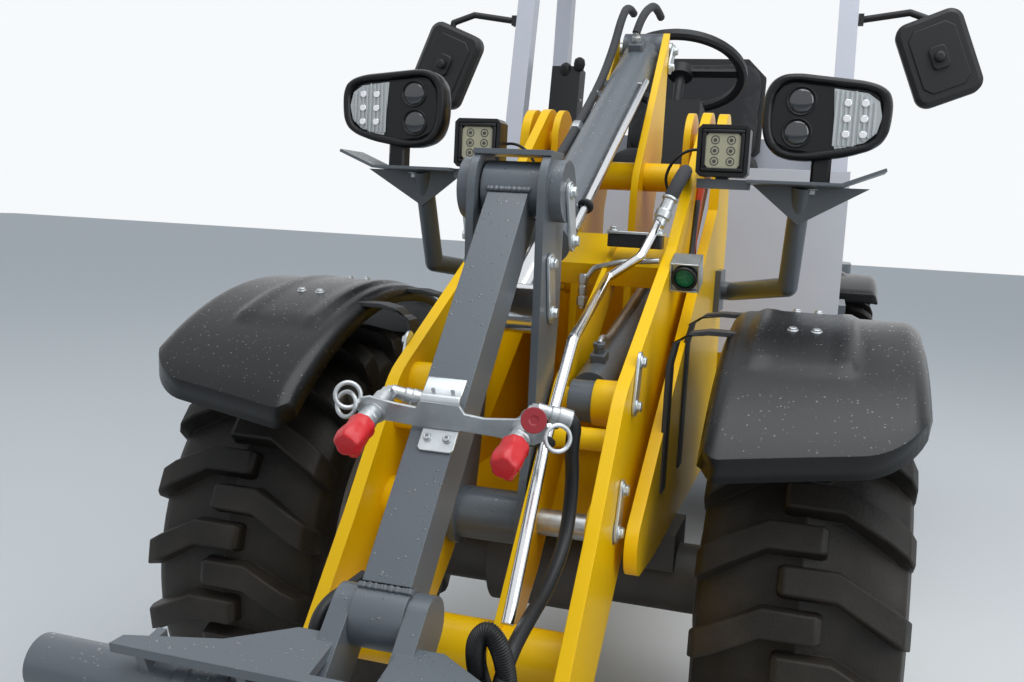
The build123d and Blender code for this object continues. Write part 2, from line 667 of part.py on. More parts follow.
def tilt_link():
    start = part_way(CRANK_TOP, LINK_FOOT, LINK_TOP_RADIUS - 8)
    end = part_way(LINK_FOOT, CRANK_TOP, LINK_FOOT_RADIUS - 8)
    section = Rectangle(LINK_SIZE, LINK_SIZE)
    tube = bar_between((0, *start), (0, *end), section)
    eye = disc(CRANK_TOP, LINK_TOP_RADIUS)
    shape = tube + slab(eye, -LINK_TOP_HALF, LINK_TOP_HALF)
    shape += round_x(LINK_FOOT, LINK_FOOT_RADIUS, -LINK_FOOT_HALF, LINK_FOOT_HALF)
    return shape - round_x(CRANK_TOP, PIN_RADIUS + RUNNING_GAP, -LINK_TOP_HALF - 1, LINK_TOP_HALF + 1)


def hitch():
    tube_r = HITCH_TUBE_RADIUS
    ear = outline([(*HITCH_PIVOT, 50.0), (*HITCH_TOP_TUBE, tube_r + 2)])
    ear += outline([(*HITCH_PIVOT, 50.0), (*HITCH_BAR, HITCH_EAR_NOSE)])
    ear += outline([(*HITCH_TOP_TUBE, tube_r), (*HITCH_BAR, HITCH_BAR_RADIUS + 2)])
    ear = ear - disc(HITCH_PIVOT, PIN_RADIUS + RUNNING_GAP)
    sides = slab(ear, ARM_INNER - 23, ARM_INNER - 7) + slab(ear, ARM_OUTER + 7, ARM_OUTER + 23)
    knuckle = outline([(*LINK_FOOT, 34.0), (*HITCH_TOP_TUBE, tube_r)])
    rib = Polyline(
        (HITCH_TOP_TUBE[0] - 20, HITCH_TOP_TUBE[1] + 20),
        (HITCH_TOP_TUBE[0] + 20, HITCH_TOP_TUBE[1] + 20),
        (HITCH_TOP_TUBE[0] + 10, DECK_REAR[1] - 16),
        (HITCH_TOP_TUBE[0] - 36, DECK_REAR[1] - 26),
        close=True,
    )
    sides += slab(knuckle, LINK_FOOT_HALF + FACE_GAP, LINK_FOOT_HALF + 26)
    for x in DECK_RIBS:
        sides += slab(make_face(rib), x - 6, x + 6)
    plan = make_face(Polyline(*[(x, y - DECK_REAR[0]) for x, y in DECK], close=True))
    deck = extrude(plan, amount=-DECK_PLATE)
    sides += Pos(0, *DECK_REAR) * Rot(DECK_SLOPE, 0, 0) * deck
    sides = sides + mirror(sides, about=Plane.YZ)
    sides += round_x(HITCH_TOP_TUBE, tube_r, -HITCH_HALF, HITCH_HALF)
    sides += round_x(HITCH_BAR, HITCH_BAR_RADIUS, -HITCH_HALF, HITCH_HALF)
    # End posts with the bores of the two locking pins
    post = Polyline(
        (HITCH_BAR[0] - 10, HITCH_BAR[1]),
        (HITCH_BAR[0] + 24, HITCH_BAR[1]),
        (HITCH_TOP_TUBE[0] + 24, HITCH_TOP_TUBE[1]),
        (HITCH_TOP_TUBE[0] - 24, HITCH_TOP_TUBE[1]),
        close=True,
    )
    post = make_face(post) + disc(LOCK_BORE, LOCK_BORE_RADIUS + 22)
    post = post - disc(LOCK_BORE, LOCK_BORE_RADIUS)
    for side_sign in (1, -1):
        x = side_sign * (HITCH_HALF - 25)
        sides += slab(post, x - LOCK_PLATE / 2, x + LOCK_PLATE / 2)
    return sides


def hitch_pins():
    near = ARM_INNER - 23
    far = ARM_OUTER + 23
    return both(round_x(HITCH_PIVOT, PIN_RADIUS, near, far))


def barrel_between(pivot, target, length, radius, eye_radius, eye_half, rod_radius):
    """Cylinder barrel with its eye at pivot and a bore for the rod."""
    neck = part_way(pivot, target, eye_radius - 6)
    start = part_way(pivot, target, eye_radius + 12)
    end = part_way(pivot, target, length)
    tube = bar_between((0, *start), (0, *end), Circle(radius))
    tube += bar_between((0, *neck), (0, *start), Circle(min(radius, eye_half) - 1))
    eye = round_x(pivot, eye_radius, -eye_half, eye_half)
    bore_start = part_way(pivot, target, eye_radius + 40)
    bore_end = part_way(pivot, target, length + 1)
    bore = bar_between((0, *bore_start), (0, *bore_end), Circle(rod_radius + RUNNING_GAP))
    hole = round_x(pivot, PIN_RADIUS + RUNNING_GAP, -eye_half - 1, eye_half + 1)
    return tube + eye - bore - hole


def rod_between(eye, target, length, radius, eye_radius, eye_half):
    """Piston rod from its eye into the barrel."""
    start = part_way(eye, target, eye_radius - 4)
    end = part_way(eye, target, length)
    rod = bar_between((0, *start), (0, *end), Circle(radius))
    return rod + round_x(eye, eye_radius, -eye_half, eye_half)


def tilt_barrel():
    return barrel_between(TILT_REAR, CRANK_ROD_PIN, TILT_BARREL_LENGTH, TILT_BARREL_RADIUS,
                          40.0, MAST_INNER - 4, TILT_ROD_RADIUS)


def tilt_pin():
    return round_x(TILT_REAR, PIN_RADIUS, -MAST_INNER - MAST_PLATE, MAST_INNER + MAST_PLATE)


def tilt_rod():
    return rod_between(CRANK_ROD_PIN, TILT_REAR, 600.0, TILT_ROD_RADIUS, TILT_EYE_RADIUS, TILT_EYE_HALF)


def lift_barrel(side):
    shape = barrel_between(LIFT_EYE, LIFT_REAR, LIFT_BARREL_LENGTH, LIFT_BARREL_RADIUS,
                           LIFT_EYE_RADIUS, LIFT_EYE_HALF, LIFT_ROD_RADIUS)
    return Pos(side * LIFT_X, 0, 0) * shape


def lift_rod(side):
    shape = rod_between(LIFT_REAR, LIFT_EYE, 560.0, LIFT_ROD_RADIUS, 30.0, LIFT_ROD_EYE_HALF)
    return Pos(side * LIFT_X, 0, 0) * shape


def steer_point(distance):
    """Point on the steering cylinder's line, at a distance from the rear anchor."""
    y, x = part_way(STEER_ANCHOR[::-1], STEER_LUG[::-1], distance)
    return (x, y, STEER_Z)


def steer_barrel():
    start = steer_point(44)
    end = steer_point(STEER_LENGTH - 190)
    tube = bar_between(start, end, Circle(STEER_BARREL_RADIUS))
    tube += bar_between(steer_point(20), start, Circle(15))
    eye = Pos(*STEER_ANCHOR, STEER_Z) * Cylinder(STEER_EYE_RADIUS, 36 - 2 * FACE_GAP)
    bore = bar_between(steer_point(60), steer_point(STEER_LENGTH - 189),
                       Circle(STEER_ROD_RADIUS + RUNNING_GAP))
    hole = Pos(*STEER_ANCHOR, STEER_Z) * Cylinder(14 + RUNNING_GAP, 60)
    return tube + eye - bore - hole


def steer_rod():
    start = steer_point(STEER_LENGTH - 20)
    end = steer_point(STEER_LENGTH - 345)
    eye = Pos(*STEER_LUG, STEER_Z) * Cylinder(STEER_EYE_RADIUS, 36 - 2 * FACE_GAP)
    return bar_between(start, end, Circle(STEER_ROD_RADIUS)) + eye


# Rear frame and operator station

def rear_frame():
    side = Polyline(
        (BULKHEAD_Y, REAR_BOTTOM),
        (WEIGHT_FRONT, REAR_BOTTOM),
        (WEIGHT_FRONT, REAR_TOP),
        (BULKHEAD_Y, REAR_TOP),
        close=True,
    )
    plate = slab(make_face(side), REAR_INNER, REAR_OUTER)
    frame = plate + mirror(plate, about=Plane.YZ)
    bulkhead = block(-REAR_OUTER, REAR_OUTER, BULKHEAD_Y, BULKHEAD_Y + BULKHEAD, LOWER_EAR, REAR_TOP)
    bulkhead -= block(90, REAR_INNER - 2, BULKHEAD_Y - 1, BULKHEAD_Y + BULKHEAD + 1,
                      STEER_Z - 50, STEER_Z + 50)
    frame += bulkhead
    for y in (WHEEL_BASE - 380, WEIGHT_FRONT - 130):
        frame += block(-REAR_INNER - 1, REAR_INNER + 1, y, y + 20, REAR_BOTTOM, REAR_TOP - 60)
    gap = 3.0
    low = LOWER_EAR + EAR_PLATE + gap
    high = UPPER_EAR - gap
    knuckle = Pos(0, PIVOT_Y, (low + high) / 2) * Cylinder(52, high - low)
    neck = block(-48, 48, PIVOT_Y + 20, BULKHEAD_Y + 5, low + 20, high - 20)
    hole = Pos(0, PIVOT_Y, (low + high) / 2) * Cylinder(STEER_PIN_RADIUS + RUNNING_GAP, high - low + 2)
    frame += knuckle + neck - hole
    for low_lug in (STEER_Z - 30, STEER_Z + 18):
        frame += block(STEER_ANCHOR[0] - 35, REAR_INNER + 1, STEER_ANCHOR[1] - 32, STEER_ANCHOR[1] + 32,
                       low_lug, low_lug + 12)
    frame += Pos(*STEER_ANCHOR, STEER_Z) * Cylinder(14, 56)
    # Cross members that carry the operator station
    # Cross member: front face, half width
    for y, half in ((BULKHEAD_Y + 30, REAR_OUTER + 30), (STATION_REAR - 60, STATION_HALF - 40)):
        frame += block(-half, half, y, y + 40, REAR_TOP - 1, REAR_TOP + 60)
        for side_sign in (1, -1):
            x = side_sign * (half - 20)
            frame += block(x - 20, x + 20, y, y + 40, REAR_TOP + 55, FLOOR_Z - SHEET - FACE_GAP)
    frame += block(-REAR_OUTER, REAR_OUTER, ENGINE_FRONT + 60, ENGINE_FRONT + 100,
                   REAR_TOP - 1, REAR_TOP + 20 - FACE_GAP)
    frame += block(-REAR_OUTER, REAR_OUTER, WEIGHT_FRONT - 20, WEIGHT_FRONT, REAR_BOTTOM, REAR_TOP)
    return frame


def platform():
    floor = block(-STATION_HALF, STATION_HALF, WALL_Y, STATION_REAR, FLOOR_Z - SHEET, FLOOR_Z)
    floor += block(-BACK_HALF, BACK_HALF, STATION_REAR - 1, BACK_WALL_Y + SHEET, FLOOR_Z - SHEET, FLOOR_Z)
    wall = block(-STATION_HALF, STATION_HALF, WALL_Y, WALL_Y + SHEET, FLOOR_Z - 150, WALL_TOP)
    wall += block(-BACK_HALF, BACK_HALF, BACK_WALL_Y, BACK_WALL_Y + SHEET, FLOOR_Z - 1, BONNET_TOP - 5)
    wall += block(-BONNET_HALF, BONNET_HALF, BACK_WALL_Y, BACK_WALL_Y + SHEET,
                  BONNET_BOTTOM, BONNET_TOP - 5)
    for x in PEDALS:
        pad = Pos(x, WALL_Y + 130, FLOOR_Z + 70) * Rot(48, 0, 0) * Box(76, 118, 10)
        floor += pad + block(x - 8, x + 8, WALL_Y + 130, WALL_Y + 160, FLOOR_Z - 1, FLOOR_Z + 72)
    ear = disc(BONNET_HINGE, HINGE_RADIUS)
    root = Pos(BACK_WALL_Y + SHEET / 2, BONNET_HINGE[1] - 22) * Rectangle(SHEET, 44)
    ear = make_hull(ear.edges() + root.edges())
    for near, far in HINGE_SPANS:
        wall += slab(ear, near - 7, near - 1)
        wall += slab(ear, far + 1, far + 7)
        wall += round_x(BONNET_HINGE, HINGE_PIN_RADIUS, near - 7, far + 7)
    return floor + wall


def side_boxes():
    """Tank and tool box below the floor, with a tread in each."""
    front = BULKHEAD_Y + 30
    rear = STATION_REAR - 200
    top = FLOOR_Z - SHEET - FACE_GAP
    body = block(REAR_OUTER + 40, STATION_HALF + 20, front, rear, top - 374, top)
    tread = block(STATION_HALF - 90, STATION_HALF + 21, front + 30, rear - 30, top - 204, top - 54)
    shelf = block(STATION_HALF - 100, STATION_HALF + 90, front + 20, rear - 20, top - 464, top - 452)
    hangers = block(STATION_HALF - 60, STATION_HALF - 50, front + 30, rear - 30, top - 453, top - 373)
    return both(body - tread + shelf + hangers)


def canopy_frame():
    front_foot = (POST_FOOT[0], POST_FOOT[1], FLOOR_Z + FACE_GAP)
    front_top = (POST_TOP[0], POST_TOP[1], ROOF_Z - 20)
    rear_foot = (POST_FOOT[0], REAR_POST_Y, FLOOR_Z + FACE_GAP)
    rear_top = (POST_TOP[0], REAR_POST_Y, ROOF_Z - 20)
    section = Rectangle(POST, POST)
    front = bar_between(front_foot, front_top, section)
    room = block(0, STATION_HALF * 2, WALL_Y, STATION_REAR * 2, FLOOR_Z + FACE_GAP, ROOF_Z - FACE_GAP)
    front = front & room
    rear = bar_between(rear_foot, rear_top, section) & room
    rail = block(POST_TOP[0] - POST / 2, POST_TOP[0] + POST / 2, POST_TOP[1] - 25, REAR_POST_Y + 25,
                 ROOF_Z - 40, ROOF_Z - FACE_GAP)
    sides = front + rear + rail
    sides = sides + mirror(sides, about=Plane.YZ)
    for y in (POST_TOP[1], REAR_POST_Y):
        sides += block(-POST_TOP[0], POST_TOP[0], y - 25, y + 25, ROOF_Z - 40, ROOF_Z - FACE_GAP)
    return sides


def canopy_roof():
    half = STATION_HALF + 30
    roof = block(-half, half, POST_TOP[1] - 130, REAR_POST_Y + 200, ROOF_Z, ROOF_Z + ROOF_DEPTH)
    roof = fillet(roof.edges().filter_by(Axis.Z), 60)
    for x in (-ROOF_CHANNEL, 0, ROOF_CHANNEL):
        roof -= block(x - ROOF_CHANNEL / 3, x + ROOF_CHANNEL / 3, POST_TOP[1] - 60, REAR_POST_Y + 130,
                      ROOF_Z + ROOF_DEPTH - 9, ROOF_Z + ROOF_DEPTH + 1)
    return roof


def seat_box():
    return block(-BACK_HALF, BACK_HALF, STATION_REAR - 270, BACK_WALL_Y - FACE_GAP,
                 FLOOR_Z + FACE_GAP, SEAT_BOX_TOP)


def seat():
    low = SEAT_BOX_TOP + 20
    cushion = block(-SEAT_HALF, SEAT_HALF, STATION_REAR - 300, STATION_REAR - 40, low, low + 110)
    back = Pos(0, STATION_REAR - 20, low + 245) * Rot(-10, 0, 0) * Box(2 * SEAT_HALF - 20, 90, 400)
    base = block(40 - SEAT_HALF, SEAT_HALF - 40, STATION_REAR - 260, STATION_REAR - 60,
                 SEAT_BOX_TOP + FACE_GAP, low + 5)
    return cushion + back + base


def console():
    low_end = (0, WALL_Y + 90, FLOOR_Z + 20)
    high_end = (0, WALL_Y + 170, FLOOR_Z + 530)
    column = bar_between(low_end, high_end, Rectangle(150, 110))
    foot = block(-110, 110, WALL_Y + 20, WALL_Y + 150, FLOOR_Z + FACE_GAP, FLOOR_Z + 40)
    return column + foot


def steering_wheel():
    ring = RegularPolygon(WHEEL_RADIUS, 32) - RegularPolygon(WHEEL_RADIUS - 28, 32)
    ring = chamfer(extrude(ring, amount=14, both=True).edges().filter_by(GeomType.LINE), 7)
    spoke = Box(2 * WHEEL_RADIUS - 40, 30, 10) + Cylinder(34, 30)
    shaft = Pos(0, 0, -53.7) * Cylinder(14, 99.4)
    return Pos(0, WALL_Y + 220, FLOOR_Z + 626) * Rot(-28, 0, 0) * (ring + spoke + shaft)


def side_console():
    low = FLOOR_Z + FACE_GAP
    body = block(-BACK_HALF - 120, -BACK_HALF - 10, STATION_REAR - 300, STATION_REAR, low, low + 480)
    arm = Pos(-BACK_HALF - 65, STATION_REAR - 270, low + 550) * Rot(-8, 0, 0) * Box(90, 70, 200)
    return body + arm


def mirrors():
    """Mirror heads hung from bent tubes on the front posts."""
    share = (MIRROR_KNOB_Z - FLOOR_Z) / (ROOF_Z - FLOOR_Z)
    post_x = POST_FOOT[0] + share * (POST_TOP[0] - POST_FOOT[0]) + POST / 2 + FACE_GAP
    post_y = POST_FOOT[1] + share * (POST_TOP[1] - POST_FOOT[1])
    sides = []
    for side, centre_x, centre_z, lean in MIRRORS:
        centre = (side * centre_x, post_y - 40, centre_z)
        stations = [
            (side * (post_x + 8), post_y - 10, MIRROR_KNOB_Z),
            (side * (centre_x - 80), post_y - 30, MIRROR_KNOB_Z + 14),
            (side * (centre_x - 20), post_y - 42, MIRROR_KNOB_Z - 10),
            centre,
        ]
        head = extrude(RectangleRounded(MIRROR_WIDTH, MIRROR_HEIGHT, 34), amount=MIRROR_DEPTH)
        head -= extrude(RectangleRounded(MIRROR_WIDTH - 14, MIRROR_HEIGHT - 14, 28), amount=6)
        head = chamfer(head.faces().sort_by(Axis.Z)[-1].edges(), 12)
        part = Pos(*centre) * Rot(90, 0, 0) * Pos(0, 0, -20) * Rot(0, 0, side * lean) * head
        knob = block(post_x, post_x + 14, post_y - 24, post_y + 4, MIRROR_KNOB_Z - 14, MIRROR_KNOB_Z + 14)
        part += knob if side > 0 else mirror(knob, about=Plane.YZ)
        for first, second in zip(stations, stations[1:]):
            part += bar_between(first, second, Circle(MIRROR_TUBE))
        for place in stations[1:-1]:
            part += Pos(*place) * Sphere(MIRROR_TUBE)
        sides.append(part)
    return Compound(children=sides)


def bonnet():
    side = Polyline(
        (BONNET_FRONT, BONNET_BOTTOM),
        (BONNET_FRONT, BONNET_TOP - 30),
        (BONNET_FRONT + 40, BONNET_TOP),
        (REAR_END - 460, BONNET_TOP - 30),
        (REAR_END - 140, BONNET_TOP - 230),
        (REAR_END - 130, BONNET_BOTTOM),
        close=True,
    )
    outer = make_face(side)
    inner = offset(outer, amount=-BONNET_WALL)
    for shift_y, shift_z in ((0, -2 * BONNET_WALL), (-2 * BONNET_WALL, -2 * BONNET_WALL)):
        inner += Pos(shift_y, shift_z) * inner
    body = slab(outer, -BONNET_HALF, BONNET_HALF)
    body -= slab(inner, -BONNET_HALF + BONNET_WALL, BONNET_HALF - BONNET_WALL)
    for index in range(LOUVRES):
        y = BONNET_FRONT + 180 + index * LOUVRE_PITCH
        body -= block(-BONNET_HALF - 1, BONNET_HALF + 1, y, y + LOUVRE_PITCH / 2,
                      BONNET_BOTTOM + 90, BONNET_BOTTOM + 250)
    for index in range(GRILLE_BARS):
        z = BONNET_BOTTOM + 20 + index * LOUVRE_PITCH
        body -= block(-GRILLE_HALF, GRILLE_HALF, REAR_END - 200, REAR_END, z, z + LOUVRE_PITCH / 2)
    for near, far in HINGE_SPANS:
        body += block(near, far, BONNET_HINGE[0], BONNET_HINGE[0] + 60, BONNET_TOP - 20, BONNET_HINGE[1])
        body += round_x(BONNET_HINGE, HINGE_RADIUS, near, far)
        body -= round_x(BONNET_HINGE, HINGE_PIN_RADIUS + RUNNING_GAP, near - 1, far + 1)
    return body


def engine():
    return block(-220, 220, ENGINE_FRONT, WEIGHT_FRONT - 130, REAR_TOP + 20, BONNET_TOP - 150)


def counterweight():
    body = block(-WEIGHT_HALF, WEIGHT_HALF, WEIGHT_FRONT, REAR_END, REAR_BOTTOM - 40, WEIGHT_TOP)
    body = fillet(body.edges().filter_by(Axis.Z), 60)
    for side in (1, -1):
        body -= Pos(side * REAR_LAMP_X, REAR_END, WEIGHT_TOP - 90) * Box(140, 36, 70)
    # Towing jaw: two lips with one upright pin bore
    for low, high in ((REAR_BOTTOM - 41, JAW_LOWER), (JAW_LOWER + 40, JAW_UPPER),
                      (JAW_UPPER + 22, WEIGHT_TOP + 1)):
        body -= block(-JAW_HALF, JAW_HALF, REAR_END - JAW_DEPTH, REAR_END + 1, low, high)
    bore = Pos(0, REAR_END - JAW_DEPTH / 2, JAW_LOWER) * Cylinder(JAW_BORE, 800)
    keep = block(-JAW_HALF, JAW_HALF, REAR_END - JAW_DEPTH, REAR_END, REAR_BOTTOM, WEIGHT_TOP)
    return body - (bore & keep)


def make_parts():
    os.makedirs("parts", exist_ok=True)
    corners = [("left", 1), ("right", -1)]
    axles = [
        ("front", 0.0, (SIDE_INNER + SIDE_OUTER) / 2, FRAME_BOTTOM),
        ("rear", WHEEL_BASE, (REAR_INNER + REAR_OUTER) / 2, REAR_BOTTOM),
    ]
    for end, y, pad_x, pad_top in axles:
        save(axle(y, pad_x, pad_top), end + "_axle")
        for hand, side in corners:
            save(tyre(side, y), "tyre_" + end + "_" + hand)
            save(rim(side, y), "rim_" + end + "_" + hand)
    save(front_frame(), "front_frame")
    save(frame_tower(), "frame_tower")
    save(pivot_box(), "pivot_box")
    save(fender(0.0, FENDER_FRONT, FENDER_REAR, FENDER_CUT, SIDE_OUTER), "front_fenders")
    rear_start = STATION_REAR + 6 - WHEEL_BASE
    save(fender(WHEEL_BASE, rear_start, 440.0, 0.0, REAR_OUTER), "rear_fenders")
    save(lamp_brackets(), "lamp_brackets")
    save(headlamps(), "headlamps")
    save(work_lamps(), "work_lamps")
    save(lift_arm(), "lift_arm")
    save(crank_pin(), "crank_pivot_pin")
    save(bell_crank(), "bell_crank")
    save(link_pin(), "link_pin")
    save(tilt_link(), "tilt_link")
    save(hitch_pins(), "hitch_pins")
    save(hitch(), "quick_hitch")
    save(tilt_pin(), "tilt_cylinder_pin")
    save(tilt_barrel(), "tilt_cylinder_barrel")
    save(tilt_rod(), "tilt_cylinder_rod")
    for hand, side in corners:
        save(lift_barrel(side), "lift_cylinder_barrel_" + hand)
        save(lift_rod(side), "lift_cylinder_rod_" + hand)
    save(steer_barrel(), "steering_cylinder_barrel")
    save(steer_rod(), "steering_cylinder_rod")
    save(rear_frame(), "rear_frame")
    save(platform(), "platform")
    save(side_boxes(), "side_boxes")
    save(canopy_frame(), "canopy_frame")
    save(canopy_roof(), "canopy_roof")
    save(seat_box(), "seat_box")
    save(seat(), "seat")
    save(console(), "steering_console")
    save(steering_wheel(), "steering_wheel")
    save(side_console(), "side_console")
    save(mirrors(), "mirrors")
    save(engine(), "engine")
    save(counterweight(), "counterweight")
    save(bonnet(), "bonnet")


make_parts()
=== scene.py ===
# %% [markdown]
# A compact wheel loader, seen from close in front of its quick hitch.
# The CAD model comes in first and stays as it is. Every later cell adds a finish or a small
# piece to it, in metres, in the same frame: X to the operator's left, -Y to the front, Z up.

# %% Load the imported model
import bpy
import bmesh
import json
import math
from mathutils import Matrix, Vector


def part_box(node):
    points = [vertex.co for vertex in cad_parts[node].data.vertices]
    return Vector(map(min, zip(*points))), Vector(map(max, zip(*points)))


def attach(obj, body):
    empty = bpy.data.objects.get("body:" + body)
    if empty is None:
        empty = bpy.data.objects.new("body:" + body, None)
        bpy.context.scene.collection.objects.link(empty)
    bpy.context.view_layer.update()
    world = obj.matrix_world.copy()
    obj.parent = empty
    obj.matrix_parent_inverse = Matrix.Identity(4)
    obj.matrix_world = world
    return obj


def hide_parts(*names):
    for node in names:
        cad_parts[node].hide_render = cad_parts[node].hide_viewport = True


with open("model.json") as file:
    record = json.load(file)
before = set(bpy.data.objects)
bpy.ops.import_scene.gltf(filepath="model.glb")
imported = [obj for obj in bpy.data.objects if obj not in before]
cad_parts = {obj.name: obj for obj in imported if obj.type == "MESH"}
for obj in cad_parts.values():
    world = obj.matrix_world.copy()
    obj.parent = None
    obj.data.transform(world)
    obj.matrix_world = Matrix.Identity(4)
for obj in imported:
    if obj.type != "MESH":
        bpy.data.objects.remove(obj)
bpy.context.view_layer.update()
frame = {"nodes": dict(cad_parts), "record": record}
nodes = frame["nodes"]

# %% [markdown]
# The CAD file was drawn from the front axle in millimetres. Pieces below are placed with the
# same numbers, so one helper turns such a place into scene metres.

# %% Places
BOX_MIDDLE_Y = 959.0
WHEEL_BASE = 1880
AXLE_HEIGHT = 408
TRACK_HALF = 460
SIDES = ((1, "left"), (-1, "right"))
AXLES = (("front", 0), ("rear", WHEEL_BASE))


def at(x, y, z):
    """Scene place of a point given in millimetres from the front axle's foot."""
    return Vector((x / 1000, (y - BOX_MIDDLE_Y) / 1000, z / 1000))


print("front axle at", tuple(at(0, 0, AXLE_HEIGHT)))

# %% [markdown]
# The camera stands where the photographer stood, about 1.8 m in front of the front axle at
# chest height, a little to the operator's left. It was solved from pairs of matching points
# on both sides of the machine. Yaw, pitch and roll turn it as a hand-held camera would be.

# %% Camera
CAMERA_PLACE = at(460, -1824, 1051)
CAMERA_YAW = 0.29536
CAMERA_PITCH = 0.12473
CAMERA_ROLL = 0.05251
PHOTO_WIDTH = 1024
FOCAL_PIXELS = 1027.5
SENSOR = 36.0

forward = Vector((
    -math.sin(CAMERA_YAW) * math.cos(CAMERA_PITCH),
    math.cos(CAMERA_YAW) * math.cos(CAMERA_PITCH),
    -math.sin(CAMERA_PITCH),
))
level_right = Vector((math.cos(CAMERA_YAW), math.sin(CAMERA_YAW), 0))
level_up = level_right.cross(forward)
right = math.cos(CAMERA_ROLL) * level_right + math.sin(CAMERA_ROLL) * level_up
up = math.cos(CAMERA_ROLL) * level_up - math.sin(CAMERA_ROLL) * level_right
camera_data = bpy.data.cameras.new("photo_camera")
camera_data.sensor_width = SENSOR
camera_data.lens = FOCAL_PIXELS / PHOTO_WIDTH * SENSOR
camera = bpy.data.objects.new("photo_camera", camera_data)
turn = Matrix((right, up, -forward)).transposed()
camera.matrix_world = Matrix.Translation(CAMERA_PLACE) @ turn.to_4x4()
bpy.context.collection.objects.link(camera)
bpy.context.scene.camera = camera
bpy.context.scene.view_settings.view_transform = "Standard"
print("lens", round(camera_data.lens, 2), "mm")

# %% [markdown]
# A pale floor and an even pale sky keep the eye on the machine. The camera sees pure white
# behind it, while the light that falls on the paint stays at a plain level.

# %% Floor and light
WORLD_LIGHT = 0.6


def node_at(tree, kind, x=0, y=0, **values):
    """Adds a shader node and sets its properties."""
    node = tree.nodes.new(kind)
    node.location = (x, y)
    for name, value in values.items():
        setattr(node, name, value)
    return node


world = bpy.data.worlds.new("pale_studio")
world.use_nodes = True
sky = world.node_tree
sky.nodes["Background"].inputs["Color"].default_value = (0.76, 0.87, 1.0, 1)
sky.nodes["Background"].inputs["Strength"].default_value = WORLD_LIGHT
shown = node_at(sky, "ShaderNodeBackground", 0, -200)
shown.inputs["Color"].default_value = (0.93, 0.95, 0.97, 1)
paths = node_at(sky, "ShaderNodeLightPath", -400, 200)
mix = node_at(sky, "ShaderNodeMixShader", 300, 0)
direct = node_at(sky, "ShaderNodeMath", -200, 300, operation="MAXIMUM")
sky.links.new(paths.outputs["Is Camera Ray"], direct.inputs[0])
sky.links.new(paths.outputs["Is Glossy Ray"], direct.inputs[1])
seen = node_at(sky, "ShaderNodeMath", 0, 300, operation="MAXIMUM")
sky.links.new(direct.outputs[0], seen.inputs[0])
sky.links.new(paths.outputs["Is Transmission Ray"], seen.inputs[1])
sky.links.new(seen.outputs[0], mix.inputs["Fac"])
sky.links.new(sky.nodes["Background"].outputs[0], mix.inputs[1])
sky.links.new(shown.outputs[0], mix.inputs[2])
sky.links.new(mix.outputs[0], sky.nodes["World Output"].inputs["Surface"])
bpy.context.scene.world = world


def soft_lamp(name, place, target, size, power, colour):
    """Large square lamp that looks at the target."""
    data = bpy.data.lights.new(name, "AREA")
    data.size = size
    data.energy = power
    data.color = colour
    lamp = bpy.data.objects.new(name, data)
    lamp.location = place
    lamp.rotation_euler = (Vector(target) - Vector(place)).to_track_quat("-Z", "Y").to_euler()
    bpy.context.collection.objects.link(lamp)


soft_lamp("overcast_top", (1.0, -1.5, 5.5), (0, 0, 0.8), 5.0, 240, (0.93, 0.97, 1.0))
soft_lamp("open_yard", (4.2, -3.2, 2.6), (0, -0.6, 0.8), 3.0, 80, (0.93, 0.97, 1.0))

bpy.ops.mesh.primitive_plane_add(size=60, location=(0, 0, -0.0005))
floor = bpy.context.object
floor.name = "pale_floor"
floor_paint = bpy.data.materials.new("pale_floor")
floor_paint.use_nodes = True
floor_shader = floor_paint.node_tree.nodes["Principled BSDF"]
floor_shader.inputs["Base Color"].default_value = (0.6, 0.6, 0.59, 1)
floor_shader.inputs["Roughness"].default_value = 0.85
floor.data.materials.append(floor_paint)
print("floor and two soft lamps")

# %% [markdown]
# Weathering works the same on every paint, so it is kept in four small node groups. Each one
# takes named inputs and gives back only a mask or a normal, and the materials decide how to
# use it. Edge wear compares the true normal with a softened one, dust gathers low down, drops
# are scattered round cells, and grain is the fine unevenness of sprayed paint or moulding.

# %% Weathering groups
def new_group(name, inputs, output, output_kind):
    """Empty node group with named inputs and one output."""
    tree = bpy.data.node_groups.new(name, "ShaderNodeTree")
    for socket_name, kind, value in inputs:
        socket = tree.interface.new_socket(socket_name, in_out="INPUT", socket_type=kind)
        socket.default_value = value
    tree.interface.new_socket(output, in_out="OUTPUT", socket_type=output_kind)
    source = node_at(tree, "NodeGroupInput", -900)
    target = node_at(tree, "NodeGroupOutput", 900)
    return tree, source, target


def maths(tree, operation, first, second=None, x=0, y=0):
    """Math node whose inputs are sockets or numbers."""
    node = node_at(tree, "ShaderNodeMath", x, y, operation=operation)
    for index, value in enumerate((first, second)):
        if value is None:
            continue
        if isinstance(value, (int, float)):
            node.inputs[index].default_value = value
        else:
            tree.links.new(value, node.inputs[index])
    return node.outputs[0]


def noise_at(tree, scale, detail, x=0, y=0):
    """Noise over the place in the scene."""
    noise = node_at(tree, "ShaderNodeTexNoise", x, y)
    noise.inputs["Detail"].default_value = detail
    if isinstance(scale, (int, float)):
        noise.inputs["Scale"].default_value = scale
    else:
        tree.links.new(scale, noise.inputs["Scale"])
    place = node_at(tree, "ShaderNodeNewGeometry", x - 200, y - 200)
    tree.links.new(place.outputs["Position"], noise.inputs["Vector"])
    return noise


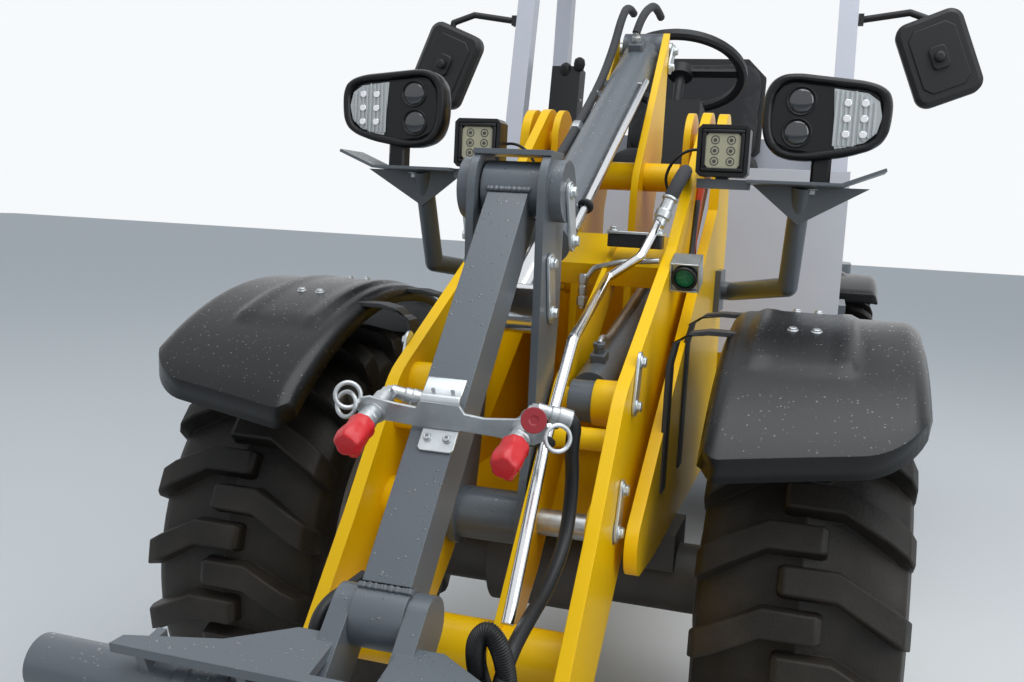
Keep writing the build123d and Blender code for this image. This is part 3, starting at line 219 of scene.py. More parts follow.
SCALAR = "NodeSocketFloat"
wear_group, wear_in, wear_out = new_group(
    "edge wear", [("Width", SCALAR, 0.0025), ("Amount", SCALAR, 0.5)], "Mask", SCALAR)
soft = node_at(wear_group, "ShaderNodeBevel", -600, 200, samples=4)
wear_group.links.new(wear_in.outputs["Width"], soft.inputs["Radius"])
true_normal = node_at(wear_group, "ShaderNodeNewGeometry", -600, 0)
compare = node_at(wear_group, "ShaderNodeVectorMath", -400, 100, operation="DOT_PRODUCT")
wear_group.links.new(soft.outputs["Normal"], compare.inputs[0])
wear_group.links.new(true_normal.outputs["True Normal"], compare.inputs[1])
rough = noise_at(wear_group, 60.0, 4.0, -400, -300)
bend = maths(wear_group, "SUBTRACT", 1.0, compare.outputs["Value"], -200, 100)
edge = maths(wear_group, "MULTIPLY", bend, rough.outputs["Fac"], 0, 100)
edge = maths(wear_group, "MULTIPLY", edge, wear_in.outputs["Amount"], 200, 100)
edge = maths(wear_group, "SUBTRACT", edge, 0.03, 350, 100)
edge = maths(wear_group, "MULTIPLY", edge, 9.0, 500, 100)
wear_group.links.new(maths(wear_group, "MINIMUM", edge, 1.0, 650, 100), wear_out.inputs["Mask"])

dust_group, dust_in, dust_out = new_group(
    "dust", [("Top", SCALAR, 0.7), ("Amount", SCALAR, 0.5), ("Scale", SCALAR, 9.0)], "Mask", SCALAR)
place = node_at(dust_group, "ShaderNodeNewGeometry", -700, 200)
parts = node_at(dust_group, "ShaderNodeSeparateXYZ", -500, 200)
dust_group.links.new(place.outputs["Position"], parts.inputs[0])
low = maths(dust_group, "DIVIDE", parts.outputs["Z"], dust_in.outputs["Top"], -300, 200)
low = maths(dust_group, "SUBTRACT", 1.15, low, -150, 200)
low = maths(dust_group, "MAXIMUM", low, 0.0, 0, 200)
cloud = noise_at(dust_group, dust_in.outputs["Scale"], 8.0, -300, -200)
cloud = maths(dust_group, "POWER", cloud.outputs["Fac"], 1.7, 0, -200)
dust = maths(dust_group, "MULTIPLY", low, cloud, 200, 0)
dust = maths(dust_group, "MULTIPLY", dust, dust_in.outputs["Amount"], 400, 0)
dust_group.links.new(maths(dust_group, "MINIMUM", dust, 1.0, 600, 0), dust_out.inputs["Mask"])

drop_group, drop_in, drop_out = new_group(
    "drops", [("Scale", SCALAR, 90.0), ("Share", SCALAR, 0.4)], "Height", SCALAR)
drop_place = node_at(drop_group, "ShaderNodeNewGeometry", -900, 300)
shake = noise_at(drop_group, 40.0, 2.0, -800, -100)
moved = node_at(drop_group, "ShaderNodeVectorMath", -600, 200, operation="MULTIPLY_ADD")
drop_group.links.new(shake.outputs["Color"], moved.inputs[0])
moved.inputs[1].default_value = (0.01, 0.01, 0.01)
drop_group.links.new(drop_place.outputs["Position"], moved.inputs[2])
cells = node_at(drop_group, "ShaderNodeTexVoronoi", -400, 200)
drop_group.links.new(moved.outputs[0], cells.inputs["Vector"])
drop_group.links.new(drop_in.outputs["Scale"], cells.inputs["Scale"])
picked = node_at(drop_group, "ShaderNodeSeparateColor", -200, 0)
drop_group.links.new(cells.outputs["Color"], picked.inputs[0])
chosen = maths(drop_group, "LESS_THAN", picked.outputs["Red"], drop_in.outputs["Share"], 0, 0)
size = maths(drop_group, "MULTIPLY_ADD", picked.outputs["Green"], 0.22, 0, -150)
size.node.inputs[2].default_value = 0.1
dome = maths(drop_group, "DIVIDE", cells.outputs["Distance"], size, 150, 200)
dome = maths(drop_group, "MULTIPLY", dome, dome, 300, 200)
dome = maths(drop_group, "SUBTRACT", 1.0, dome, 450, 200)
dome = maths(drop_group, "MAXIMUM", dome, 0.0, 600, 200)
dome = maths(drop_group, "SQRT", dome, None, 700, 200)
up_face = node_at(drop_group, "ShaderNodeSeparateXYZ", -200, -300)
drop_group.links.new(drop_place.outputs["True Normal"], up_face.inputs[0])
upward = maths(drop_group, "GREATER_THAN", up_face.outputs["Z"], 0.2, 0, -300)
dome = maths(drop_group, "MULTIPLY", dome, chosen, 750, 0)
drop_group.links.new(maths(drop_group, "MULTIPLY", dome, upward, 800, -200), drop_out.inputs["Height"])

grain_group, grain_in, grain_out = new_group(
    "grain", [("Scale", SCALAR, 400.0), ("Height", SCALAR, 0.0002), ("Extra", SCALAR, 0.0)],
    "Normal", "NodeSocketVector")
fine = noise_at(grain_group, grain_in.outputs["Scale"], 3.0, -500, 0)
level = maths(grain_group, "MULTIPLY", fine.outputs["Fac"], grain_in.outputs["Height"], -200, 0)
level = maths(grain_group, "ADD", level, grain_in.outputs["Extra"], 0, 0)
bump = node_at(grain_group, "ShaderNodeBump", 300, 0)
bump.inputs["Distance"].default_value = 1.0
rounded = node_at(grain_group, "ShaderNodeBevel", 0, -300, samples=4)
rounded.inputs["Radius"].default_value = 0.0018
grain_group.links.new(rounded.outputs["Normal"], bump.inputs["Normal"])
grain_group.links.new(level, bump.inputs["Height"])
grain_group.links.new(bump.outputs["Normal"], grain_out.inputs["Normal"])
print("node groups:", [g.name for g in bpy.data.node_groups])

# %% [markdown]
# One function builds every finish. It starts from a base colour, varies it a little, lets
# the metal or primer show at worn edges, lays dust on what is low, and rounds all edges.
# Drops of water lie only on faces that look up.

# %% Finishes
def use_group(tree, group, x, y, **values):
    node = node_at(tree, "ShaderNodeGroup", x, y, node_tree=group)
    for name, value in values.items():
        node.inputs[name].default_value = value
    return node


def mixed(tree, share, first, second, x=0, y=0):
    """Colour mix whose inputs are sockets or colours."""
    node = node_at(tree, "ShaderNodeMix", x, y, data_type="RGBA")
    for index, value in ((0, share), (6, first), (7, second)):
        if isinstance(value, (int, float)):
            node.inputs[index].default_value = value
        elif isinstance(value, tuple):
            node.inputs[index].default_value = (*value, 1)
        else:
            tree.links.new(value, node.inputs[index])
    return node.outputs[2]


finishes = {}


def finish_of(name, colour, roughness, metal=0.0, coat=0.0, gloss=0.5, vary=0.08, vary_scale=6.0,
              wear=0.0, wear_colour=(0.3, 0.3, 0.3), dust=0.0, dust_top=0.7,
              grain=0.0001, grain_scale=400.0, drops=0.0, drop_scale=90.0, speckle=0.0):
    """Principled material with soft variation, edge wear, dust, drops and grain."""
    material = bpy.data.materials.new(name)
    material.use_nodes = True
    tree = material.node_tree
    shader = tree.nodes["Principled BSDF"]
    shader.inputs["Metallic"].default_value = metal
    shader.inputs["Coat Weight"].default_value = coat
    shader.inputs["Specular IOR Level"].default_value = gloss
    shader.inputs["Coat Roughness"].default_value = 0.08
    cloud = noise_at(tree, vary_scale, 5.0, -1400, 300)
    darker = tuple(channel * (1 - vary * 2) for channel in colour)
    brighter = tuple(channel * (1 + vary) for channel in colour)
    base = mixed(tree, cloud.outputs["Fac"], darker, brighter, -1100, 300)
    if speckle:
        spots = noise_at(tree, grain_scale, 2.0, -1400, 600)
        sharp = maths(tree, "GREATER_THAN", spots.outputs["Fac"], 0.56, -1200, 600)
        sharp = maths(tree, "MULTIPLY", sharp, speckle, -1050, 600)
        base = mixed(tree, sharp, base, tuple(min(1, c * 1.6) for c in colour), -900, 500)
    if wear:
        worn = use_group(tree, wear_group, -1100, 0, Width=0.003, Amount=wear)
        base = mixed(tree, worn.outputs["Mask"], base, wear_colour, -800, 300)
    rough = maths(tree, "MULTIPLY_ADD", cloud.outputs["Fac"], 0.12, -800, 0)
    rough.node.inputs[2].default_value = max(0.02, roughness - 0.06)
    if dust:
        dusty = use_group(tree, dust_group, -900, -300, Amount=dust, Top=dust_top)
        base = mixed(tree, dusty.outputs["Mask"], base, (0.2, 0.155, 0.115), -500, 300)
        rough = maths(tree, "MAXIMUM", rough, dusty.outputs["Mask"], -500, 0)
    surface = use_group(tree, grain_group, -300, -400, Scale=grain_scale, Height=grain)
    if drops:
        wet = use_group(tree, drop_group, -800, -600, Scale=drop_scale, Share=drops)
        height = maths(tree, "MULTIPLY", wet.outputs["Height"], 0.0011, -550, -600)
        tree.links.new(height, surface.inputs["Extra"])
        is_drop = maths(tree, "GREATER_THAN", wet.outputs["Height"], 0.01, -500, -450)
        dry = maths(tree, "SUBTRACT", 1.0, is_drop, -350, -200)
        rough = maths(tree, "MULTIPLY", rough, dry, -250, -100)
        rough = maths(tree, "ADD", rough, 0.03, -150, -100)
        tree.links.new(is_drop, shader.inputs["Coat Weight"])
    tree.links.new(surface.outputs["Normal"], shader.inputs["Normal"])
    tree.links.new(base, shader.inputs["Base Color"])
    tree.links.new(rough, shader.inputs["Roughness"])
    finishes[name] = material


YELLOW = (0.86, 0.5, 0.001)
SLATE = (0.098, 0.11, 0.122)
finish_of("yellow_paint", YELLOW, 0.34, coat=0.05, gloss=0.2, vary=0.03, wear=0.12,
          wear_colour=(0.5, 0.3, 0.02), dust=0.25, dust_top=0.5, grain=0.00006)
finish_of("slate_paint", SLATE, 0.3, coat=0.4, vary=0.05, wear=0.2, dust=0.25, dust_top=0.4, drops=0.5,
          drop_scale=130.0)
finish_of("silver_paint", (0.5, 0.51, 0.56), 0.4, metal=0.2, vary=0.03, dust=0.3)
finish_of("dark_paint", (0.02, 0.021, 0.023), 0.5, wear=0.3, dust=0.9, dust_top=0.7)
finish_of("zinc", (0.5, 0.52, 0.53), 0.36, metal=0.9, vary=0.2, vary_scale=90.0, grain_scale=900.0)
finish_of("chrome_rod", (0.75, 0.76, 0.78), 0.12, metal=1.0, vary=0.02)
finish_of("tyre", (0.006, 0.0065, 0.007), 0.5, gloss=0.2, vary=0.3, vary_scale=30.0, dust=0.5,
          dust_top=0.9, grain=0.0006, grain_scale=220.0)
finish_of("fender_plastic", (0.005, 0.0055, 0.0065), 0.26, gloss=0.3, vary=0.1, dust=0.06, grain=0.0002,
          grain_scale=700.0, drops=0.3, drop_scale=190.0)
finish_of("trim_plastic", (0.012, 0.012, 0.013), 0.45, gloss=0.35, grain=0.0003, grain_scale=600.0)
finish_of("lamp_housing", (0.008, 0.008, 0.009), 0.3, gloss=0.3, grain=0.0001)
finish_of("seat_fabric", (0.02, 0.02, 0.022), 0.75, grain=0.0008, grain_scale=900.0, vary=0.2,
          vary_scale=60.0)
finish_of("iron", (0.06, 0.06, 0.06), 0.7, dust=0.6, dust_top=1.0, grain=0.0006)
finish_of("galvanised", (0.56, 0.59, 0.6), 0.3, metal=0.85, vary=0.12, vary_scale=45.0,
          grain_scale=500.0)
finish_of("rubber_hose", (0.008, 0.008, 0.009), 0.42, gloss=0.35, grain=0.0004, grain_scale=500.0)
finish_of("textile_hose", (0.03, 0.03, 0.033), 0.8, grain=0.001, grain_scale=700.0, speckle=0.5)
finish_of("red_plastic", (0.55, 0.008, 0.012), 0.35, vary=0.1, grain=0.0002)
finish_of("orange_hose", (0.7, 0.06, 0.01), 0.4)
finish_of("dark_red", (0.3, 0.012, 0.02), 0.35, vary=0.1)
finish_of("green_plug", (0.01, 0.2, 0.09), 0.4)
finish_of("led_cream", (0.4, 0.37, 0.25), 0.2, vary=0.05)
finish_of("lens_grey", (0.42, 0.44, 0.44), 0.2, metal=0.3, coat=0.6, vary=0.05)
finish_of("dark_lens", (0.03, 0.032, 0.035), 0.06, metal=0.4, coat=1.0, vary=0.05)
finish_of("reflector", (0.75, 0.76, 0.78), 0.16, metal=1.0, vary=0.02)
finish_of("mirror_glass", (0.55, 0.58, 0.6), 0.03, metal=1.0, vary=0.0)
for part in frame["record"]["subparts"]:
    cad = nodes[part["node"]]
    for place in cad.material_slots:
        place.material = finishes[part["material_slot"]]
print(len(finishes), "finishes")

# %% [markdown]
# The small pieces are all skinned from rings of points, as a boat is planked over its frames.
# A turned part is a row of circles, a flat part is one outline drawn twice, and a hose is a
# smooth curve. These few helpers keep every later cell short.

# %% Helpers for small pieces
def facing(place, direction, side=(1, 0, 0)):
    """Matrix at a place whose Z runs along the direction and whose X stays near side."""
    z = Vector(direction).normalized()
    x = (Vector(side) - z * z.dot(Vector(side))).normalized()
    y = z.cross(x)
    turn = Matrix((x, y, z)).transposed().to_4x4()
    return Matrix.Translation(place) @ turn


def add_rings(shape, rings, ends=True, closed=False):
    """Skins a row of equal rings of points."""
    loops = [[shape.verts.new(point) for point in ring] for ring in rings]
    following = loops[1:] + (loops[:1] if closed else [])
    for low, high in zip(loops, following):
        for index in range(len(low)):
            after = (index + 1) % len(low)
            shape.faces.new((low[index], low[after], high[after], high[index]))
    if ends and not closed:
        shape.faces.new(loops[0])
        shape.faces.new(loops[-1])


def add_turned(shape, frame_at, profile, sides=24):
    """Turned part: the profile holds height and radius in millimetres."""
    rings = []
    for height, radius in profile:
        ring = []
        for index in range(sides):
            angle = 2 * math.pi * index / sides
            point = Vector((radius * math.cos(angle), radius * math.sin(angle), height))
            ring.append(frame_at @ (point / 1000))
        rings.append(ring)
    add_rings(shape, rings)


def add_flat(shape, frame_at, outline, low, high):
    """Plate of one outline in millimetres between two heights."""
    rings = [[frame_at @ (Vector((u, v, h)) / 1000) for u, v in outline] for h in (low, high)]
    add_rings(shape, rings)


def box_outline(width, height, cut=0.0):
    """Rectangle round the origin with cut corners."""
    w, h = width / 2, height / 2
    if not cut:
        return [(-w, -h), (w, -h), (w, h), (-w, h)]
    return [(cut - w, -h), (w - cut, -h), (w, cut - h), (w, h - cut),
            (w - cut, h), (cut - w, h), (-w, h - cut), (-w, cut - h)]


def oval(length, width, steps=8):
    """Flat link plate with round ends, along the first axis."""
    radius = width / 2
    reach = length / 2 - radius
    points = []
    for end in (1, -1):
        for index in range(steps + 1):
            angle = math.pi * index / steps - math.pi / 2
            points.append((end * (reach + radius * math.cos(angle)), end * radius * math.sin(angle)))
    return points


def add_ring(shape, frame_at, radius, thickness, sides=28, section=10):
    """Torus round the frame's Z."""
    rings = []
    for index in range(sides):
        angle = 2 * math.pi * index / sides
        out = Vector((math.cos(angle), math.sin(angle), 0))
        ring = []
        for step in range(section):
            lean = 2 * math.pi * step / section
            rise = Vector((0, 0, thickness * math.sin(lean)))
            point = out * (radius + thickness * math.cos(lean)) + rise
            ring.append(frame_at @ (point / 1000))
        rings.append(ring)
    add_rings(shape, rings, closed=True)


def piece_of(shape, name, finish, body, bevel=0.0):
    """Turns a bmesh into a piece that rides on a body."""
    bmesh.ops.recalc_face_normals(shape, faces=shape.faces)
    mesh = bpy.data.meshes.new(name)
    shape.to_mesh(mesh)
    shape.free()
    mesh.polygons.foreach_set("use_smooth", [True] * len(mesh.polygons))
    mesh.set_sharp_from_angle(angle=math.radians(34))
    mesh.materials.append(finishes[finish])
    piece = bpy.data.objects.new(name, mesh)
    bpy.context.collection.objects.link(piece)
    if bevel:
        rounding = piece.modifiers.new("rounding", "BEVEL")
        rounding.width = bevel / 1000
        rounding.segments = 2
        rounding.limit_method = "ANGLE"
        rounding.angle_limit = math.radians(34)
    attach(piece, body)
    return piece


def flat_piece(name, frame_at, outline, low, high, finish, body, bevel=0.0):
    """Piece of one plate."""
    shape = bmesh.new()
    add_flat(shape, frame_at, outline, low, high)
    piece_of(shape, name, finish, body, bevel)


def turned_piece(name, frame_at, profile, sides, finish, body, bevel=0.0):
    """Piece of one turned part."""
    shape = bmesh.new()
    add_turned(shape, frame_at, profile, sides)
    piece_of(shape, name, finish, body, bevel)


def curve_of(name, points, diameter, finish, body):
    """Smooth tube along control points in millimetres from the front axle's foot."""
    data = bpy.data.curves.new(name, "CURVE")
    data.dimensions = "3D"
    data.bevel_depth = diameter / 2000
    data.bevel_resolution = 4
    data.use_fill_caps = True
    data.resolution_u = 10
    line = data.splines.new("NURBS")
    line.points.add(len(points) - 1)
    for point, place in zip(line.points, points):
        point.co = (*at(*place), 1)
    line.order_u = 3
    line.use_endpoint_u = True
    data.materials.append(finishes[finish])
    piece = bpy.data.objects.new(name, data)
    bpy.context.collection.objects.link(piece)
    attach(piece, body)


HEX = 6


def add_bolt(shape, frame_at, across, head):
    """Hexagon head with a washer, standing along the frame's Z."""
    add_turned(shape, frame_at, [(0, across * 0.75), (2, across * 0.75), (2.4, across * 0.6)], 20)
    radius = across / math.sqrt(3)
    add_turned(shape, frame_at, [(1.5, radius), (head - 1, radius), (head, radius * 0.82)], HEX)


print("helpers for rings, turned parts, plates and curves")

# %% [markdown]
# The tyres carry deep hooked lugs in two rows that reach past each other. The CAD tyre only
# has a coarse ring of them, so it gives way here to a finer one: a smooth carcass with twenty
# lugs a side, each a chain of sections that runs over the tread and down the shoulder.

# %% Tyres
TYRE_RADIUS = 408.0
CARCASS = [
    (-110, 214), (-118, 232), (-137, 256), (-147, 300), (-150, 328), (-143, 352), (-122, 368),
    (-70, 377), (-4, 381), (0, 384), (4, 381), (70, 377), (122, 368), (143, 352), (150, 328),
    (147, 300), (137, 256), (118, 232), (110, 214),
]
# Lug sections: x and radius on top, x and radius at the root, place along the tread, half width
LUG = [
    (-33, 400, -33, 366, -27, 17),
    (-24, 407, -24, 366, -27, 20),
    (50, 407.5, 50, 362, -27, 21),
    (116, 402, 104, 352, 8, 22),
    (141, 391, 122, 345, 22, 22),
    (151, 370, 130, 338, 28, 22),
    (151.5, 340, 134, 326, 32, 20),
    (147, 308, 139, 304, 34, 16),
]
LUG_FLARE = 8.0
LUGS_A_SIDE = 20
AROUND = 120


def tyre_point(x, radius, angle):
    return Vector((x, -radius * math.sin(angle), radius * math.cos(angle))) / 1000


def tyre_shape():
    shape = bmesh.new()
    rings = []
    for index in range(AROUND):
        angle = 2 * math.pi * index / AROUND
        rings.append([tyre_point(x, radius, angle) for x, radius in CARCASS])
    add_rings(shape, rings, closed=True)
    for row in (1, -1):
        for index in range(LUGS_A_SIDE):
            middle = 2 * math.pi * (index + (0.5 if row < 0 else 0)) / LUGS_A_SIDE
            rings = []
            for top_x, top, root_x, root, along, half in LUG:
                first, last = (along - half) / TYRE_RADIUS, (along + half) / TYRE_RADIUS
                flare = LUG_FLARE / TYRE_RADIUS
                rings.append([
                    tyre_point(row * root_x, root, middle + first - flare),
                    tyre_point(row * top_x, top, middle + first),
                    tyre_point(row * top_x, top, middle + last),
                    tyre_point(row * root_x, root, middle + last + flare),
                ])
            add_rings(shape, rings)
    return shape


for end, axle_y in AXLES:
    for side, hand in SIDES:
        shape = tyre_shape()
        place = Matrix.Translation(at(side * TRACK_HALF, axle_y, AXLE_HEIGHT))
        bmesh.ops.transform(shape, matrix=place, verts=shape.verts)
        name = end + "_" + hand
        tyre = piece_of(shape, "lugged_tyre_" + name, "tyre", "wheel_" + name, bevel=3.0)
        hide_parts("tyre_" + name)
print("four tyres with", LUGS_A_SIDE * 2, "lugs each")

# %% [markdown]
# Wheel nuts and a valve finish each rim. Small fixings like these are what makes a wheel read
# as a real one, and one loop sets them all.

# %% Wheel nuts
NUTS = 8
NUT_CIRCLE = 108.0
NUT_SEAT = 501
for end, axle_y in AXLES:
    for side, hand in SIDES:
        shape = bmesh.new()
        for index in range(NUTS):
            angle = 2 * math.pi * (index + 0.5) / NUTS
            along, rise = NUT_CIRCLE * math.cos(angle), NUT_CIRCLE * math.sin(angle)
            place = at(side * NUT_SEAT, axle_y + along, AXLE_HEIGHT + rise)
            add_bolt(shape, facing(place, (side, 0, 0), (0, 1, 0)), across=22, head=18)
        valve = facing(at(side * 500, axle_y + 150, AXLE_HEIGHT + 96), (side, 0, 0), (0, 1, 0))
        add_turned(shape, valve, [(0, 5), (26, 5), (27, 4), (38, 4)], 12)
        piece_of(shape, f"wheel_nuts_{end}_{hand}", "zinc", f"wheel_{end}_{hand}", bevel=0.8)
print(NUTS * 4, "wheel nuts")

# %% [markdown]
# A zinc bracket for the two auxiliary couplings rides on the link, in the middle of the
# picture. It is one folded sheet: a foot on the link, a front plate with two wings, and a lip
# with two rivets. Its outline is drawn in the bracket's own plane, so it follows the link.

# %% Coupling bracket
LINK_FOOT = Vector((0, -757, 572))
LINK_ALONG = Vector((0, 0.6415, 0.7672))
LINK_OUT = Vector((0, -0.7672, 0.6415))
BRACKET_FACE = Vector((0, -0.939, -0.344))
BRACKET_UP = Vector((0, -0.344, 0.939))


def on_link(along, x, out):
    """Place in millimetres: along the link from its foot, sideways, and off its axis."""
    return LINK_FOOT + LINK_ALONG * along + LINK_OUT * out + Vector((x, 0, 0))


bracket_root = on_link(238, 0, 35)


def bracket(x, up, ahead=0.0):
    """Place in millimetres in the plane of the bracket's front plate."""
    return bracket_root + BRACKET_UP * up + BRACKET_FACE * ahead + Vector((x, 0, 0))


def frame_on_bracket(x, up, ahead=0.0):
    return facing(at(*bracket(x, up, ahead)), BRACKET_FACE)


FRONT_PLATE = [
    (-94, 2), (-60, 3), (-20, 0), (40, 0), (82, -2), (132, -8), (146, 0), (152, 12), (148, 25),
    (134, 32), (110, 26), (70, 22), (44, 25), (38, 36), (-14, 38), (-21, 27), (-50, 30),
    (-84, 36), (-98, 32), (-106, 18),
]
sheet = bmesh.new()
rings = []
for ahead in (0, 4):
    rings.append([at(*bracket(x, up, ahead)) for x, up in FRONT_PLATE])
add_rings(sheet, rings)
fold = []
for lean in range(7):
    angle = math.radians(lean * 18)
    fold.append((36 + 9 * math.sin(angle), 4 - 9 * (1 - math.cos(angle))))
lip_start = fold[-1]
fold.append((lip_start[0] + 10, lip_start[1] - 22))
rings = []
for up, ahead in fold:
    below, behind = up - 1.5, ahead - 4
    corners = ((-14, up, ahead), (38, up, ahead), (38, below, behind), (-14, below, behind))
    rings.append([at(*bracket(*corner)) for corner in corners])
add_rings(sheet, rings)
foot = facing(at(*on_link(224, 10, 31)), LINK_OUT)
add_flat(sheet, foot, box_outline(48, 40, 4), 0, 4)
piece_of(sheet, "coupling_bracket", "galvanised", "link", bevel=1.0)

SOCKET_SCREW = [(0, 6), (1, 6), (1, 4.5), (5, 4.5), (5, 2.4), (2, 2.2)]
bolts = bmesh.new()
for x in (-4, 22):
    add_turned(bolts, facing(at(*on_link(222, x, 35)), LINK_OUT), SOCKET_SCREW, 16)
    add_turned(bolts, frame_on_bracket(x + 4, 48, -10), [(0, 3), (0.6, 3)], 12)
piece_of(bolts, "bracket_bolts", "zinc", "link")
tethers = bmesh.new()
for x, up, lean in ((-112, 36, 0.5), (-116, 22, -0.3), (164, 8, 0.7)):
    frame_ring = facing(at(*bracket(x, up, 6)), (lean, -1, 0.2))
    add_ring(tethers, frame_ring, 16, 3.0)
piece_of(tethers, "tether_rings", "zinc", "link")
print("bracket on the link")

# %% [markdown]
# Two steel couplings stand out from the bracket with soft red dust caps. The caps are thin
# moulded plastic that never fits quite round, so their rings of points are pushed about a
# little by a fixed pattern of sines.

# %% Couplings and dust caps
COUPLINGS = ((-80, 14), (120, 10))
BODY = [(-34, 11), (-30, 14), (-8, 14), (-7, 17), (4, 17), (5, 13.5), (22, 13.5), (23, 12), (26, 12),
        (27, 14.5), (44, 14.5), (46, 12)]
CAP = [(36, 13), (37, 17), (42, 18.2), (50, 16.6), (58, 17.6), (72, 18.6), (82, 17.4), (87, 14), (88, 0.5)]
for number, (x, up) in enumerate(COUPLINGS):
    frame_coupling = frame_on_bracket(x, up)
    turned_piece(f"coupling_{number + 1}", frame_coupling, BODY, 32, "zinc", "link", bevel=0.5)
    cap = bmesh.new()
    rings = []
    for height, radius in CAP:
        ring = []
        for index in range(36):
            angle = 2 * math.pi * index / 36
            push = 1 + 0.06 * math.sin(5 * angle + number) * min(1, (height - 36) / 20)
            push += 0.03 * math.sin(9 * angle + height / 7)
            point = Vector((radius * push * math.cos(angle), radius * push * math.sin(angle), height))
            ring.append(frame_coupling @ (point / 1000))
        rings.append(ring)
    add_rings(cap, rings)
    tab = Matrix.Translation((0, -0.022, 0.064))
    add_flat(cap, frame_coupling @ tab, box_outline(14, 10, 3), -8, 8)
    piece_of(cap, f"dust_cap_{number + 1}", "red_plastic", "link", bevel=1.2)
frame_tag = facing(at(*bracket(136, 32, 10)), (0.25, -0.95, 0.2))
turned_piece("red_tag", frame_tag, [(0, 16), (3, 16), (3, 6), (2, 5)], 32, "dark_red", "link", bevel=0.5)
print("two couplings with caps")

# %% [markdown]
# Behind the bracket each coupling has a forged elbow and a hose. Both hoses ride on the link
# like the bracket itself: one goes down behind it, the other bows out on the left and goes
# down to the hitch. A short hose on the hitch and a corrugated sleeve on the arm end there.

# %% Elbows and coupling hoses
HOSE_AIM = Vector((0.9, 0.3, -0.25)).normalized()
hose_starts = []
for number, (x, up) in enumerate(COUPLINGS):
    elbow = bmesh.new()
    back = bracket(x, up, -34)
    turn_end = back - BRACKET_FACE * 20 - BRACKET_UP * 4 + Vector((14, 0, 0))
    hose_starts.append(turn_end + HOSE_AIM * 26)
    add_turned(elbow, facing(at(*back), -BRACKET_FACE), [(0, 12), (10, 12), (12, 9), (20, 9)], 6)
    add_turned(elbow, facing(at(*turn_end), HOSE_AIM),
               [(-14, 9), (4, 9), (5, 11), (14, 11), (15, 12.5), (32, 12.5), (33, 10)], 18)
    piece_of(elbow, f"elbow_{number + 1}", "zinc", "link", bevel=0.8)
left_start, right_start = hose_starts
LEFT_HOSE = [
    tuple(left_start), tuple(left_start + HOSE_AIM * 24), tuple(on_link(215, -10, -50)),
    tuple(on_link(150, -22, -50)), tuple(on_link(90, -44, -44)), tuple(on_link(66, -46, -40)),
]
HITCH_HOSE = [
    (-60, -690, 590), (-66, -704, 584), (-72, -724, 580), (-80, -756, 574), (-84, -776, 552),
    (-84, -782, 520),
]
RIGHT_HOSE = [
    tuple(right_start), tuple(right_start + HOSE_AIM * 12), (160, -548, 752), (157, -516, 700),
    (156, -528, 622), (154, -604, 580), (152, -700, 566), (150, -765, 546), (148, -790, 512),
]
curve_of("left_coupling_hose", LEFT_HOSE, 19, "rubber_hose", "link")
curve_of("right_coupling_hose", RIGHT_HOSE, 19, "rubber_hose", "link")
curve_of("hitch_hose", HITCH_HOSE, 19, "rubber_hose", "hitch")
SLEEVE = [
    (118, -742, 500), (116, -766, 540), (121, -782, 574), (134, -784, 588), (147, -782, 572),
    (153, -772, 540), (155, -764, 505),
]
SLEEVE_RINGS = 120


def through(points, share):
    """Place on a smooth curve through the points, and its direction."""
    number = min(int(share), len(points) - 2)
    t = share - number
    near = [min(max(number + step, 0), len(points) - 1) for step in (-1, 0, 1, 2)]
    a, b, c, d = (Vector(points[place]) for place in near)
    square = 2 * a - 5 * b + 4 * c - d
    cube = 3 * b - a - 3 * c + d
    place = 0.5 * (2 * b + (c - a) * t + square * t ** 2 + cube * t ** 3)
    direction = 0.5 * ((c - a) + 2 * square * t + 3 * cube * t ** 2)
    return place, direction


sleeve = bmesh.new()
rings = []
for index in range(SLEEVE_RINGS + 1):
    here, ahead = through(SLEEVE, index / SLEEVE_RINGS * (len(SLEEVE) - 1))
    turn = facing(at(*here), ahead, (0, 1, 0))
    radius = 0.012 if index % 2 else 0.0104
    ring = []
    for step in range(16):
        angle = step * math.pi / 8
        ring.append(turn @ Vector((radius * math.cos(angle), radius * math.sin(angle), 0)))
    rings.append(ring)
add_rings(sleeve, rings)
piece_of(sleeve, "corrugated_sleeve", "rubber_hose", "arm")
print("elbows and hoses")

# %% [markdown]
# The pipe clamp on the arm's beam holds a bright steel pipe that steps down over the beam and
# runs along the left arm plate. Pipes are drawn as curves whose corner points are given
# twice, which keeps the bends tight and the runs straight.

# %% Pipe clamp and pipes
clamp_frame = facing(at(118, 42, 1010), (0, 0, 1))
flat_piece("clamp_plate", clamp_frame, box_outline(104, 40, 3), 12, 17, "galvanised", "arm", bevel=0.8)
flat_piece("clamp_jaws", clamp_frame, box_outline(100, 34, 3), -12, 12, "trim_plastic", "arm", bevel=1.5)
clamp_bolts = bmesh.new()
for x in (-42, 42):
    add_bolt(clamp_bolts, clamp_frame @ Matrix.Translation((x / 1000, 0, 0.017)), across=13, head=8)
piece_of(clamp_bolts, "clamp_bolts", "zinc", "arm", bevel=0.5)


def pipe_route(corners, tight=16.0):
    """Doubles each inner corner so that the curve bends only near it."""
    route = [corners[0]]
    for before, corner, after in zip(corners, corners[1:], corners[2:]):
        here = Vector(corner)
        towards = (Vector(before) - here).normalized() * tight
        onward = (Vector(after) - here).normalized() * tight
        route += [tuple(here + towards), tuple(here), tuple(here + onward)]
    return route + [corners[-1]]


